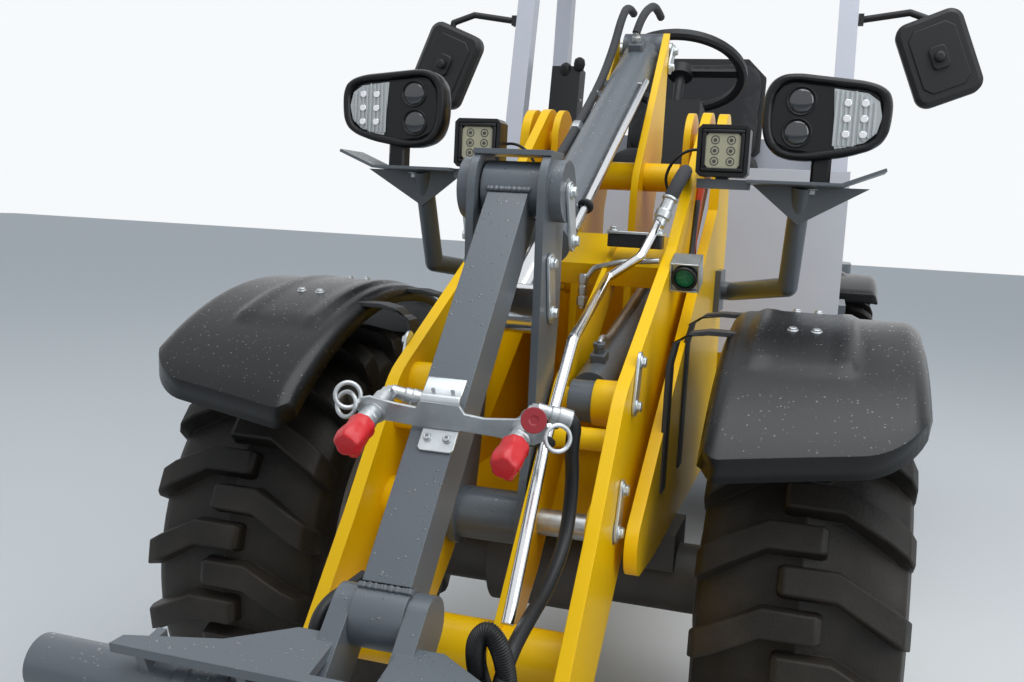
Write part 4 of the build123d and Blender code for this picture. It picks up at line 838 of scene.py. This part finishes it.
BRIGHT_PIPE = [(154, 70, 1052), (152, 20, 1024), (140, -20, 985), (88, -40, 945), (104, -180, 926),
               (128, -442, 880), (128, -566, 752), (128, -690, 560)]
curve_of("bright_pipe", pipe_route(BRIGHT_PIPE), 16, "chrome_rod", "arm")
THIN_PIPE = [(168, 12, 978), (100, 12, 972), (50, 12, 958), (32, 12, 930)]
curve_of("thin_pipe", pipe_route(THIN_PIPE), 10, "zinc", "arm")
fitting = bmesh.new()
for height, across in ((944, 20), (924, 18), (904, 22)):
    add_turned(fitting, facing(at(32, 12, height), (0, 0, -1)), [(0, across / 2), (16, across / 2)], 6)
add_turned(fitting, facing(at(32, 12, 946), (0, 0, -1)), [(0, 7), (64, 7)], 16)
piece_of(fitting, "thin_pipe_fitting", "zinc", "arm", bevel=0.8)
HOSE_END = [(0, 12), (14, 12), (15, 15), (30, 15), (31, 12), (52, 12), (53, 15), (58, 15)]
turned_piece("supply_hose_end", facing(at(154, 62, 1040), (0.28, 0.35, 0.9)), HOSE_END, 20,
             "zinc", "arm", bevel=0.8)
SUPPLY_HOSE = [(170, 82, 1092), (184, 96, 1130), (186, 160, 1150), (160, 300, 1140)]
curve_of("supply_hose", SUPPLY_HOSE, 26, "textile_hose", "arm")
rings_shape = bmesh.new()
for y, z in ((-540, 779), (-560, 758)):
    turn = facing(at(128, y, z), (0, 0.69, 0.72))
    add_ring(rings_shape, turn, 10, 3.4)
    add_flat(rings_shape, turn @ Matrix.Translation((-0.02, 0, 0)), box_outline(26, 16, 3), -5, 5)
piece_of(rings_shape, "pipe_clamps", "trim_plastic", "arm")
print("clamp, pipes and hose end")

# %% [markdown]
# The fenders are vacuum-formed shells: soft corners, a rolled rim and a raised panel with
# two ridges along it. The CAD fenders have straight cuts, so these shells stand for them.
# A grid of points is laid over the tyre and each row bends down near the rim. Flat straps,
# bent once, carry each shell from the frame.

# %% Fenders
FENDER_RADIUS = 640.0
FENDER_MIDDLE_Y = -19
FENDER_MIDDLE_Z = 262
FENDER_INNER = 308.0
FENDER_OUTER = 614.0
FENDER_RIM = 30.0
PANEL_MIDDLE = 431.0
PANEL_SLOPE = 22
PANEL_END = 200
STRAP_PLACES = (33, -159)
STRAP_RADIUS = 631
STRAP_FOOT_Z = 606
STRAP_END_X = 460
STEPS_LONG = 56
STEPS_ACROSS = 44


def eased(value, low, high):
    """Smooth step from 0 at low to 1 at high."""
    share = min(1, max(0, (value - low) / (high - low)))
    return share * share * (3 - 2 * share)


def corner_cut(x, reach, depth):
    """How far a rounded corner at the outer side holds the edge back at this x."""
    share = max(0, (x - (FENDER_OUTER - reach)) / reach)
    return depth * (1 - math.sqrt(max(0, 1 - share * share)))


def fender_point(side, x, along, axle_y, drop, lift):
    """Place on the shell: along the arc, lowered near the rim and lifted on the panel."""
    angle = math.asin((along - FENDER_MIDDLE_Y) / FENDER_RADIUS)
    radius = FENDER_RADIUS - drop + lift
    y = axle_y + FENDER_MIDDLE_Y + radius * math.sin(angle)
    return at(side * x, y, FENDER_MIDDLE_Z + radius * math.cos(angle))


def add_fender(shape, side, axle_y, front, rear, front_depth):
    """Grid of points over one tyre, from front to rear along the arc."""
    panel_front = front + PANEL_END
    panel_rear = rear - PANEL_END
    grid = []
    for step in range(STEPS_ACROSS + 1):
        x = FENDER_INNER + (FENDER_OUTER - FENDER_INNER) * step / STEPS_ACROSS
        slant = (x - FENDER_INNER) * 0.14 if front_depth else 0
        inner_cut = 24 * (1 - eased(x, FENDER_INNER, FENDER_INNER + 34)) ** 2
        first = front + slant + corner_cut(x, 92, front_depth) + inner_cut
        last = rear - corner_cut(x, 70, 60)
        row = []
        for index in range(STEPS_LONG + 1):
            along = first + (last - first) * index / STEPS_LONG
            near_side = min(x - FENDER_INNER, FENDER_OUTER - x)
            near_edge = min(near_side, (along - first) * 1.1, (last - along) * 1.1)
            turned = max(0, 1 - near_edge / FENDER_RIM)
            drop = FENDER_RIM * (1 - math.sqrt(max(0, 1 - turned * turned)))
            across = abs(x - PANEL_MIDDLE)
            starts = eased(along, panel_front - PANEL_SLOPE, panel_front)
            lengthwise = starts * (1 - eased(along, panel_rear, panel_rear + PANEL_SLOPE))
            lift = 6.5 * (1 - eased(across, 70, 86)) * lengthwise
            lift -= 2.5 * (1 - eased(across, 40, 62)) * lengthwise
            row.append(shape.verts.new(fender_point(side, x, along, axle_y, drop, lift)))
        grid.append(row)
    for near, far in zip(grid, grid[1:]):
        for index in range(STEPS_LONG):
            shape.faces.new((near[index], near[index + 1], far[index + 1], far[index]))


# End, place of its axle, depth of the front corner, x of the straps' root
for end, axle_y, front_depth, root in (("front", 0, 95, 225), ("rear", WHEEL_BASE, 0, 250)):
    low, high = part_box(end + "_fenders")
    front = low[1] * 1000 + BOX_MIDDLE_Y - axle_y
    rear = high[1] * 1000 + BOX_MIDDLE_Y - axle_y
    shells = bmesh.new()
    for side in (1, -1):
        add_fender(shells, side, axle_y, front, rear, front_depth)
    fender_piece = piece_of(shells, "fender_shells_" + end, "fender_plastic", end)
    fender_piece.data.shade_smooth()
    wall = fender_piece.modifiers.new("wall", "SOLIDIFY")
    wall.thickness = 0.006
    wall.offset = -1
    if fender_piece.data.polygons[0].normal.z < 0:
        fender_piece.data.flip_normals()
    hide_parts(end + "_fenders")
    straps = bmesh.new()
    bolts = bmesh.new()
    for side in (1, -1):
        for place in STRAP_PLACES:
            if place < front + 60:
                continue
            top_z = FENDER_MIDDLE_Z + math.sqrt(STRAP_RADIUS ** 2 - (place - FENDER_MIDDLE_Y) ** 2)
            path = [
                (root, STRAP_FOOT_Z), (root, top_z - 60), (root + 8, top_z - 22),
                (root + 30, top_z - 6), (root + 60, top_z - 1), (STRAP_END_X, top_z - 1),
            ]
            rings = []
            for x, z in path:
                flat = eased(x, root, root + 40)
                ring = []
                for width, thick in ((-20, -4), (20, -4), (20, 4), (-20, 4)):
                    out = x + thick * (1 - flat)
                    ring.append(at(side * out, axle_y + place + width, z + thick * flat))
                rings.append(ring)
            add_rings(straps, rings)
            for x in (PANEL_MIDDLE - 18, PANEL_MIDDLE + 18):
                slope = (place - FENDER_MIDDLE_Y) / FENDER_RADIUS
                spot = facing(at(side * x, axle_y + place, top_z + 12), (0, slope, 1))
                add_bolt(bolts, spot, across=12, head=6)
    piece_of(straps, "fender_straps_" + end, "dark_paint", end, bevel=0.8)
    piece_of(bolts, "fender_bolts_" + end, "zinc", end, bevel=0.4)

# %% [markdown]
# The head lamp housings are rounded mouldings. Their outline is given by fifteen corners and
# smoothed by cutting every corner three times. The rings shrink towards both faces.

# %% Lamp housings
LAMP_OUTLINE = [
    (315, 1256), (320, 1304), (341, 1327), (374, 1331), (498, 1318), (530, 1307), (543, 1288),
    (544, 1254), (539, 1218), (518, 1198), (472, 1183), (405, 1172), (362, 1174), (334, 1187),
    (319, 1214),
]


def smoothed(points, reaches=(9, 4, 2)):
    """Rounds a closed outline by cutting every corner, each time by a smaller reach."""
    for reach in reaches:
        cut = []
        for here, after in zip(points, points[1:] + points[:1]):
            share = min(0.3, reach / math.dist(here, after))
            cut.append(tuple((1 - share) * a + share * b for a, b in zip(here, after)))
            cut.append(tuple(share * a + (1 - share) * b for a, b in zip(here, after)))
        points = cut
    return points


def shrunk(points, amount):
    """Outline pulled towards its middle by about an amount."""
    middle = [sum(axis) / len(points) for axis in zip(*points)]
    result = []
    for u, v in points:
        reach = math.hypot(u - middle[0], v - middle[1])
        share = (reach - amount) / reach
        result.append((middle[0] + share * (u - middle[0]), middle[1] + share * (v - middle[1])))
    return result


HOUSING_RINGS = [
    (172, 19), (164, 17), (160, 13), (159, 8), (161, 3), (166, 0), (196, 0), (214, 4), (232, 14),
    (248, 30), (258, 50), (262, 72),
]
lamp_edge = smoothed(LAMP_OUTLINE)
housings = bmesh.new()
for side in (1, -1):
    rings = []
    for y, amount in HOUSING_RINGS:
        rings.append([at(side * u, y + 4, v) for u, v in shrunk(lamp_edge, amount)])
    add_rings(housings, rings)
    add_flat(housings, facing(at(side * 428, 208, 1135), (0, 0, 1)), box_outline(36, 36, 5), 0, 46)
housing_piece = piece_of(housings, "lamp_shells", "lamp_housing", "front")
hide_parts("headlamps")
print("lamp housings")

# %% [markdown]
# Every pin of the linkage is kept from turning by a zinc link plate, with one bolt into the
# pin's end and one into the steel beside it. One table of both ends serves them all.

# %% Pin retainers
CRANK_BOSS = 1000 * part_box("link_pin")[1][0]
# x of the face, side, pin end (y, z), bolt end (y, z), body
RETAINERS = (
    (190, 1, (-280, 765), (-262, 832), "arm"),
    (190, 1, (-362, 589), (-340, 648), "arm"),
    (190, -1, (-280, 765), (-262, 832), "arm"),
    (190, -1, (-362, 589), (-340, 648), "arm"),
    (CRANK_BOSS, 1, (-328, 1085), (-297, 1012), "crank"),
    (CRANK_BOSS, -1, (-328, 1085), (-297, 1012), "crank"),
    (60, 1, (-322, 902), (-342, 978), "crank"),
    (60, -1, (-322, 902), (-342, 978), "crank"),
    (213, 1, (-730, 278), (-772, 330), "hitch"),
    (213, -1, (-730, 278), (-772, 330), "hitch"),
    (65, 1, (638, 1442), (598, 1400), "front"),
    (65, -1, (638, 1442), (598, 1400), "front"),
)
for number, (x, side, pin, bolt, body) in enumerate(RETAINERS):
    run = Vector((0, bolt[0] - pin[0], bolt[1] - pin[1]))
    middle = at(side * (x + 0.5), (pin[0] + bolt[0]) / 2, (pin[1] + bolt[1]) / 2)
    turn = facing(middle, (side, 0, 0), run)
    plate = bmesh.new()
    add_flat(plate, turn, oval(run.length + 32, 32), 0, 5)
    for end in (-1, 1):
        spot = Matrix.Translation((end * run.length / 2000, 0, 0.005))
        add_bolt(plate, turn @ spot, across=15, head=8)
    piece_of(plate, f"retainer_{number + 1}", "galvanised", body, bevel=0.8)
print(len(RETAINERS), "retainers")

# %% [markdown]
# The head lamps have two stacked projectors on the inner, dark half and a fluted pale half
# outside with small light-emitting squares. The flutes are real ribs, because a bump map
# would vanish in the exported mesh.

# %% Head lamps
LAMP_FACE_Y = 172
PALE_HALF = [(448, 1192), (500, 1208), (520, 1226), (527, 1254), (520, 1282), (500, 1296), (440, 1304)]
DARK_HALF = [(334, 1222), (346, 1203), (370, 1192), (405, 1188), (448, 1192), (440, 1304), (380, 1312),
             (350, 1308), (337, 1290), (332, 1256)]
EYES = ((384, 1281), (380, 1223))
EYE_RADIUS = 22.5
EYE_DOME = [(2, EYE_RADIUS)]
for step in range(1, 9):
    angle = step * math.pi / 16
    EYE_DOME.append((2 + 5 * math.sin(angle), EYE_RADIUS * math.cos(angle) + 0.1))
for side, hand in SIDES:
    # This face's second axis points up on the left lamp and down on the right one
    front = facing(at(0, LAMP_FACE_Y, 0), (0, -1, 0), (side, 0, 0))
    dark = bmesh.new()
    eyes = bmesh.new()
    add_flat(dark, front, [(u, side * v) for u, v in DARK_HALF], 0, 2)
    for u, v in EYES:
        spot = front @ Matrix.Translation((u / 1000, side * v / 1000, 0))
        add_turned(dark, spot, [(1, 27), (6, 27), (6, 24.5), (3, 23)], 32)
        add_turned(eyes, spot, EYE_DOME, 32)
    piece_of(dark, "lamp_bowl_" + hand, "lamp_housing", "front", bevel=0.8)
    piece_of(eyes, "lamp_projectors_" + hand, "dark_lens", "front")
    pale = bmesh.new()
    add_flat(pale, front, [(u, side * v) for u, v in PALE_HALF], 0, 3)
    for index in range(9):
        u = 446 + index * 8.4
        reach = 50 - max(0, index - 4) * 5
        rib = front @ Matrix.Translation((u / 1000, side * 1.25, 0.003))
        add_flat(pale, rib, box_outline(4.4, 2 * reach, 1.5), 0, 2.6)
    piece_of(pale, "lamp_flutes_" + hand, "lens_grey", "front", bevel=0.6)
    lights = bmesh.new()
    for row in range(3):
        for column in range(2):
            along, rise = (466 + column * 30) / 1000, 1.222 + row * 0.028
            spot = front @ Matrix.Translation((along, side * rise, 0.005))
            add_flat(lights, spot, box_outline(13, 13, 3), 0, 2.4)
    piece_of(lights, "lamp_diodes_" + hand, "reflector", "front", bevel=0.6)
    screws = bmesh.new()
    add_bolt(screws, facing(at(side * 413, 262, 1125), (0, 0, -1)), across=19, head=12)
    piece_of(screws, "lamp_screws_" + hand, "zinc", "front")
print("head lamps")

# %% [markdown]
# The square work lamps hold six diodes behind a cream lens. Their leads go over to the tower.

# %% Work lamps
WORK_BORDER = ((0, 36, 79, 7), (0, -36, 79, 7), (36, 0, 7, 65), (-36, 0, 7, 65))
WORK_LEAD = (
    (236, 236, 1176), (214, 240, 1190), (176, 236, 1192), (142, 236, 1166), (129, 240, 1120),
    (150, 250, 1092),
)
for side, hand in SIDES:
    front = facing(at(side * 247, 188, 1187), (0, -1, 0))
    flat_piece("work_lens_" + hand, front, box_outline(66, 66, 6), 0, 5, "led_cream", "front", bevel=0.6)
    cups = bmesh.new()
    for row in range(-1, 2):
        for column in (-1, 1):
            spot = front @ Matrix.Translation((column * 0.015, row * 0.02, 0.005))
            add_ring(cups, spot, 7.5, 0.9, 20, 6)
            add_turned(cups, spot, [(0, 3.4), (1.2, 3.4), (1.4, 0.2)], 14)
    piece_of(cups, "work_cups_" + hand, "iron", "front")
    border = bmesh.new()
    for u, v, width, height in WORK_BORDER:
        bar = front @ Matrix.Translation((u / 1000, v / 1000, 0))
        add_flat(border, bar, box_outline(width, height), 0, 9)
    piece_of(border, "work_border_" + hand, "lamp_housing", "front", bevel=1.5)
    lead = [(side * x, y, z) for x, y, z in WORK_LEAD]
    curve_of("work_lead_" + hand, lead, 6, "rubber_hose", "front")
print("work lamps")

# %% [markdown]
# A zinc hood on the left arm plate shelters a round seven-pole socket with a green insert. Its
# lead and an orange hose come down between the tower plates.

# %% Socket on the arm
HOOD_WALLS = ((-26, 26, 25, 28), (-26, -23, -26, 28), (23, 26, -26, 28), (-26, 26, -26, -23))
hood = bmesh.new()
turn = facing(at(216, 12, 952), (0, -0.94, -0.34))
for low_u, high_u, low_v, high_v in HOOD_WALLS:
    middle = Matrix.Translation(((low_u + high_u) / 2000, (low_v + high_v) / 2000, 0))
    add_flat(hood, turn @ middle, box_outline(high_u - low_u, high_v - low_v), -44, 8)
add_flat(hood, turn, box_outline(50, 48), -40, -2)
add_turned(hood, facing(at(216, 34, 986), (0, -0.34, 0.94)), [(-2, 5), (3, 5)], 6)
piece_of(hood, "socket_hood", "galvanised", "arm", bevel=0.8)
turned_piece("socket_body", turn, [(-12, 23), (9, 23), (12, 21), (12, 18), (0, 18)], 28,
             "trim_plastic", "arm", bevel=0.6)
insert = bmesh.new()
add_turned(insert, turn, [(-2, 17), (4, 17), (5, 15)], 24)
for index in range(7):
    angle = 2 * math.pi * index / 6
    reach = 0.009 if index < 6 else 0
    spot = turn @ Matrix.Translation((reach * math.cos(angle), reach * math.sin(angle), 0.005))
    add_turned(insert, spot, [(0, 2.4), (1.5, 2.4), (1.6, 1.2)], 10)
piece_of(insert, "socket_insert", "green_plug", "arm")
ORANGE_HOSE = [(190, 286, 940), (190, 278, 1000), (192, 270, 1060), (196, 300, 1120)]
SOCKET_LEAD = [(214, 62, 950), (212, 110, 985), (205, 180, 1040), (200, 240, 1090)]
curve_of("orange_hose", ORANGE_HOSE, 18, "orange_hose", "front")
curve_of("socket_lead", SOCKET_LEAD, 11, "rubber_hose", "arm")
print("socket")

# %% [markdown]
# The cylinders carry a welded port block and a thin pipe along the tube. The tilt cylinder
# also has an indicator rod in a rubber guide on its left, which is what the driver watches.

# %% Cylinder fittings
def way(start, end, share):
    """Place on the straight line between two points."""
    return tuple(a + share * (b - a) for a, b in zip(start, end))


LIFT_START = (112, -280, 765)
LIFT_END = (112, 368, 914.6)
# Share of the way along the barrel, and height over its axis
LIFT_PIPE = ((0.16, 58), (0.19, 66), (0.24, 44), (0.5, 42), (0.78, 44), (0.82, 60))
for side, hand in SIDES:
    body = "lift_barrel_" + hand
    ports = bmesh.new()
    axis = Vector(LIFT_END) - Vector(LIFT_START)
    normal = Vector((0, -axis.z, axis.y)).normalized()
    for share in (0.16, 0.83):
        spot = Vector(way(LIFT_START, LIFT_END, share)) + normal * 28
        spot.x *= side
        turn = facing(at(*spot), normal, axis)
        add_flat(ports, turn, box_outline(34, 26, 3), 0, 15)
        add_turned(ports, turn, [(15, 9), (24, 9), (24, 11), (32, 11)], 6)
    piece_of(ports, "lift_ports_" + hand, "slate_paint", body, bevel=0.8)
    run = [Vector(way(LIFT_START, LIFT_END, share)) + normal * height for share, height in LIFT_PIPE]
    curve_of("lift_pipe_" + hand, [(side * p.x, p.y, p.z) for p in run], 10, "zinc", body)
TILT_START = Vector((0, 638, 1442))
TILT_ALONG = Vector((0, -0.872692, -0.48827))
TILT_OUT = Vector((0, -0.48827, 0.872692))


def on_tilt(along, out, x=0):
    """Place in millimetres: along the tilt cylinder from its pin, off its axis, and sideways."""
    return TILT_START + TILT_ALONG * along + TILT_OUT * out + Vector((x, 0, 0))


ports = bmesh.new()
caps = bmesh.new()
for along in (90, 830):
    port = facing(at(*on_tilt(along, 38)), TILT_OUT, TILT_ALONG)
    add_flat(ports, port, box_outline(44, 34, 4), 0, 18)
    cap = facing(at(*on_tilt(along, 56)), TILT_OUT, TILT_ALONG)
    add_turned(caps, cap, [(0, 11), (12, 11), (13, 8), (22, 8)], 6)
piece_of(ports, "tilt_ports", "slate_paint", "tilt_barrel", bevel=1.0)
piece_of(caps, "tilt_port_nuts", "zinc", "tilt_barrel", bevel=0.8)
TILT_HOSES = {
    "tilt_hose_rod": ((832, 76, 0), (812, 92, -14), (780, 60, -40), (700, 20, -50), (480, 14, -50),
                      (240, 20, -50), (120, 60, -44), (60, 96, -40), (-20, 104, -40), (-90, 60, -42)),
    "tilt_hose_base": ((92, 76, 0), (66, 98, 6), (10, 106, 14), (-60, 88, 18), (-110, 44, 20)),
}
for name, route in TILT_HOSES.items():
    curve_of(name, [tuple(on_tilt(*place)) for place in route], 19, "textile_hose", "tilt_barrel")
collars = bmesh.new()
for along in (240, 300, 470):
    collar = facing(at(*on_tilt(along, 15, -50)), TILT_ALONG)
    add_turned(collars, collar, [(-14, 12), (-8, 13.5), (8, 13.5), (14, 12)], 6)
piece_of(collars, "tilt_hose_collars", "zinc", "tilt_barrel", bevel=0.8)
guide = bmesh.new()
ROD_SIDE = Vector((48, 0, 0)) + TILT_OUT * 22
spot = TILT_START + TILT_ALONG * 806 + ROD_SIDE
add_ring(guide, facing(at(*spot), TILT_ALONG), 10, 4.5)
piece_of(guide, "indicator_guide", "trim_plastic", "tilt_barrel")
arms = bmesh.new()
for along in (255, 806):
    middle = TILT_START + TILT_ALONG * along + ROD_SIDE * 0.8
    add_flat(arms, facing(at(*middle), TILT_ALONG), box_outline(26, 16, 2), -4, 4)
piece_of(arms, "indicator_arm", "zinc", "tilt_barrel", bevel=0.6)
ends = [TILT_START + TILT_ALONG * along + ROD_SIDE for along in (240, 890)]
curve_of("indicator_rod", [tuple(p) for p in ends], 14, "chrome_rod", "tilt_barrel")
LINK_CORNERS = ((-31, 32), (31, 32), (31, -32), (-31, -32))
BEAD = ((-4, 1), (-2.5, 3.4), (2.5, 3.4), (4, 1))
BEADS_A_SIDE = 16
beads = bmesh.new()
for along in (24, 641):
    for corner, (x, out) in enumerate(LINK_CORNERS):
        after = LINK_CORNERS[(corner + 1) % 4]
        for step in range(BEADS_A_SIDE):
            share = step / BEADS_A_SIDE
            spot = on_link(along, x + share * (after[0] - x), out + share * (after[1] - out))
            size = 1 + 0.16 * math.sin(step * 2.7 + corner)
            profile = [(height * size, radius * size) for height, radius in BEAD]
            add_turned(beads, facing(at(*spot), LINK_ALONG), profile, 8)
piece_of(beads, "link_welds", "slate_paint", "link")
print("cylinder fittings")

# %% [markdown]
# The seat is two stuffed cushions in black fabric on a plain pan. A cushion is a closed skin
# that is blown up a little: the cloth solver presses it out against its own seams, so the
# sides pull in between the corners the way real upholstery does. The pan comes after that.

# %% Seat cushions
CUSHION_FRAMES = 12
CUSHION_VOXEL = 0.009
CUSHION_CAP = 0.012
CUSHION_LEVELS = ((-1, 0.10), (-0.86, 0.03), (-0.4, 0), (0.3, 0), (0.8, 0.035), (1, 0.12))


def cushion_shape(width, depth, height, turn):
    """Closed cushion with rounded corners and two side bolsters, around the frame."""
    shape = bmesh.new()
    rings = []
    for level, inset in CUSHION_LEVELS:
        ring = []
        for index in range(48):
            angle = 2 * math.pi * (index + 0.5) / 48
            c, s = math.cos(angle), math.sin(angle)
            u = math.copysign(abs(c) ** 0.35, c) * (width / 2 - inset * depth)
            v = math.copysign(abs(s) ** 0.35, s) * (depth / 2 - inset * depth)
            ring.append(turn @ (Vector((u, v, level * height / 2)) / 1000))
        rings.append(ring)
    add_rings(shape, rings)
    return shape


def stuffed(shape, name, body):
    """Blows the closed skin up with the cloth solver and keeps the result."""
    piece = piece_of(shape, name, "seat_fabric", body)
    fill = piece.modifiers.new("skin", "REMESH")
    fill.mode = "VOXEL"
    fill.voxel_size = CUSHION_VOXEL
    depsgraph = bpy.context.evaluated_depsgraph_get()
    skin = bpy.data.meshes.new_from_object(piece.evaluated_get(depsgraph))
    piece.modifiers.clear()
    piece.data = skin
    before = [vertex.co.copy() for vertex in skin.vertices]
    cloth = piece.modifiers.new("stuffing", "CLOTH")
    cloth.settings.use_pressure = True
    cloth.settings.uniform_pressure_force = 4
    cloth.settings.effector_weights.gravity = 0
    scene = bpy.context.scene
    for number in range(1, CUSHION_FRAMES + 1):
        scene.frame_set(number)
    depsgraph = bpy.context.evaluated_depsgraph_get()
    blown = bpy.data.meshes.new_from_object(piece.evaluated_get(depsgraph))
    piece.modifiers.clear()
    for vertex, old in zip(blown.vertices, before):
        move = vertex.co - old
        if move.length > CUSHION_CAP:
            vertex.co = old + move.normalized() * CUSHION_CAP
    piece.data = blown
    scene.frame_set(1)
    piece.data.polygons.foreach_set("use_smooth", [True] * len(piece.data.polygons))
    piece.data.materials.clear()
    piece.data.materials.append(finishes["seat_fabric"])
    return piece


low_turn = facing(at(0, 1425, 1217), (0, -0.06, 1))
back_turn = facing(at(0, 1572, 1400), (0, -1, 0.18))
stuffed(cushion_shape(446, 240, 84, low_turn), "seat_cushion", "rear")
stuffed(cushion_shape(420, 330, 70, back_turn), "seat_back", "rear")
pan = bmesh.new()
add_flat(pan, facing(at(0, 1430, 1140), (0, 0, 1)), box_outline(400, 200, 20), 0.3, 30)
add_flat(pan, facing(at(0, 1600, 1400), (0, -1, 0.18)), box_outline(430, 360, 60), -14, 4)
add_flat(pan, facing(at(0, 1430, 1170), (0, 0, 1)), box_outline(470, 250, 30), 0, 12)
shell = piece_of(pan, "seat_shell", "trim_plastic", "rear", bevel=3.0)
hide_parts("seat")
print("seat cushions")

# %% [markdown]
# Last come the mirror glasses, the lamps at the back, and the levers and knobs by the seat.

# %% Mirrors, rear lamps and controls
MIRROR_X = 682.0
MIRROR_Z = {"left": 1502.0, "right": 1472.0}
MIRROR_LEAN = math.radians(22.0)
for side, hand in SIDES:
    turn = Matrix.Translation(at(side * MIRROR_X, 1122, MIRROR_Z[hand]))
    turn = turn @ Matrix.Rotation(-side * MIRROR_LEAN, 4, "Y") @ facing((0, 0, 0), (0, 1, 0))
    flat_piece("mirror_glass_" + hand, turn, box_outline(152, 208, 22), -2, 1.5,
               "mirror_glass", "rear", bevel=0.8)
    clamp = bmesh.new()
    behind = turn @ Matrix.Translation((0, 0, -0.035))
    add_flat(clamp, behind, box_outline(120, 170, 20), -4, 4)
    add_flat(clamp, behind, box_outline(44, 60, 8), -14, 0)
    add_turned(clamp, behind @ Matrix.Translation((0, 0, -0.02)), [(-12, 9), (-8, 14), (6, 14)], 20)
    piece_of(clamp, "mirror_clamp_" + hand, "trim_plastic", "rear", bevel=3.0)
for side, hand in SIDES:
    turn = facing(at(side * 380, 2792, 825), (0, 1, 0))
    flat_piece("rear_lamp_" + hand, turn, box_outline(136, 66, 8), 0, 12, "red_plastic", "rear", bevel=2.0)
controls = bmesh.new()
knobs = bmesh.new()
for x, y, height in ((-330, 1330, 90), (-372, 1330, 74), (-372, 1372, 60)):
    turn = facing(at(x, y, 1400), (0.05, -0.18, 1))
    add_turned(controls, turn, [(0, 14), (6, 14), (10, 6), (height, 5)], 16)
    top = turn @ Matrix.Translation((0, 0, height / 1000))
    add_turned(knobs, top, [(0, 7), (6, 14), (22, 18), (36, 15), (42, 6), (43, 0.3)], 20)
piece_of(controls, "control_levers", "zinc", "rear")
piece_of(knobs, "control_knobs", "trim_plastic", "rear")
print("glass, lamps and levers")
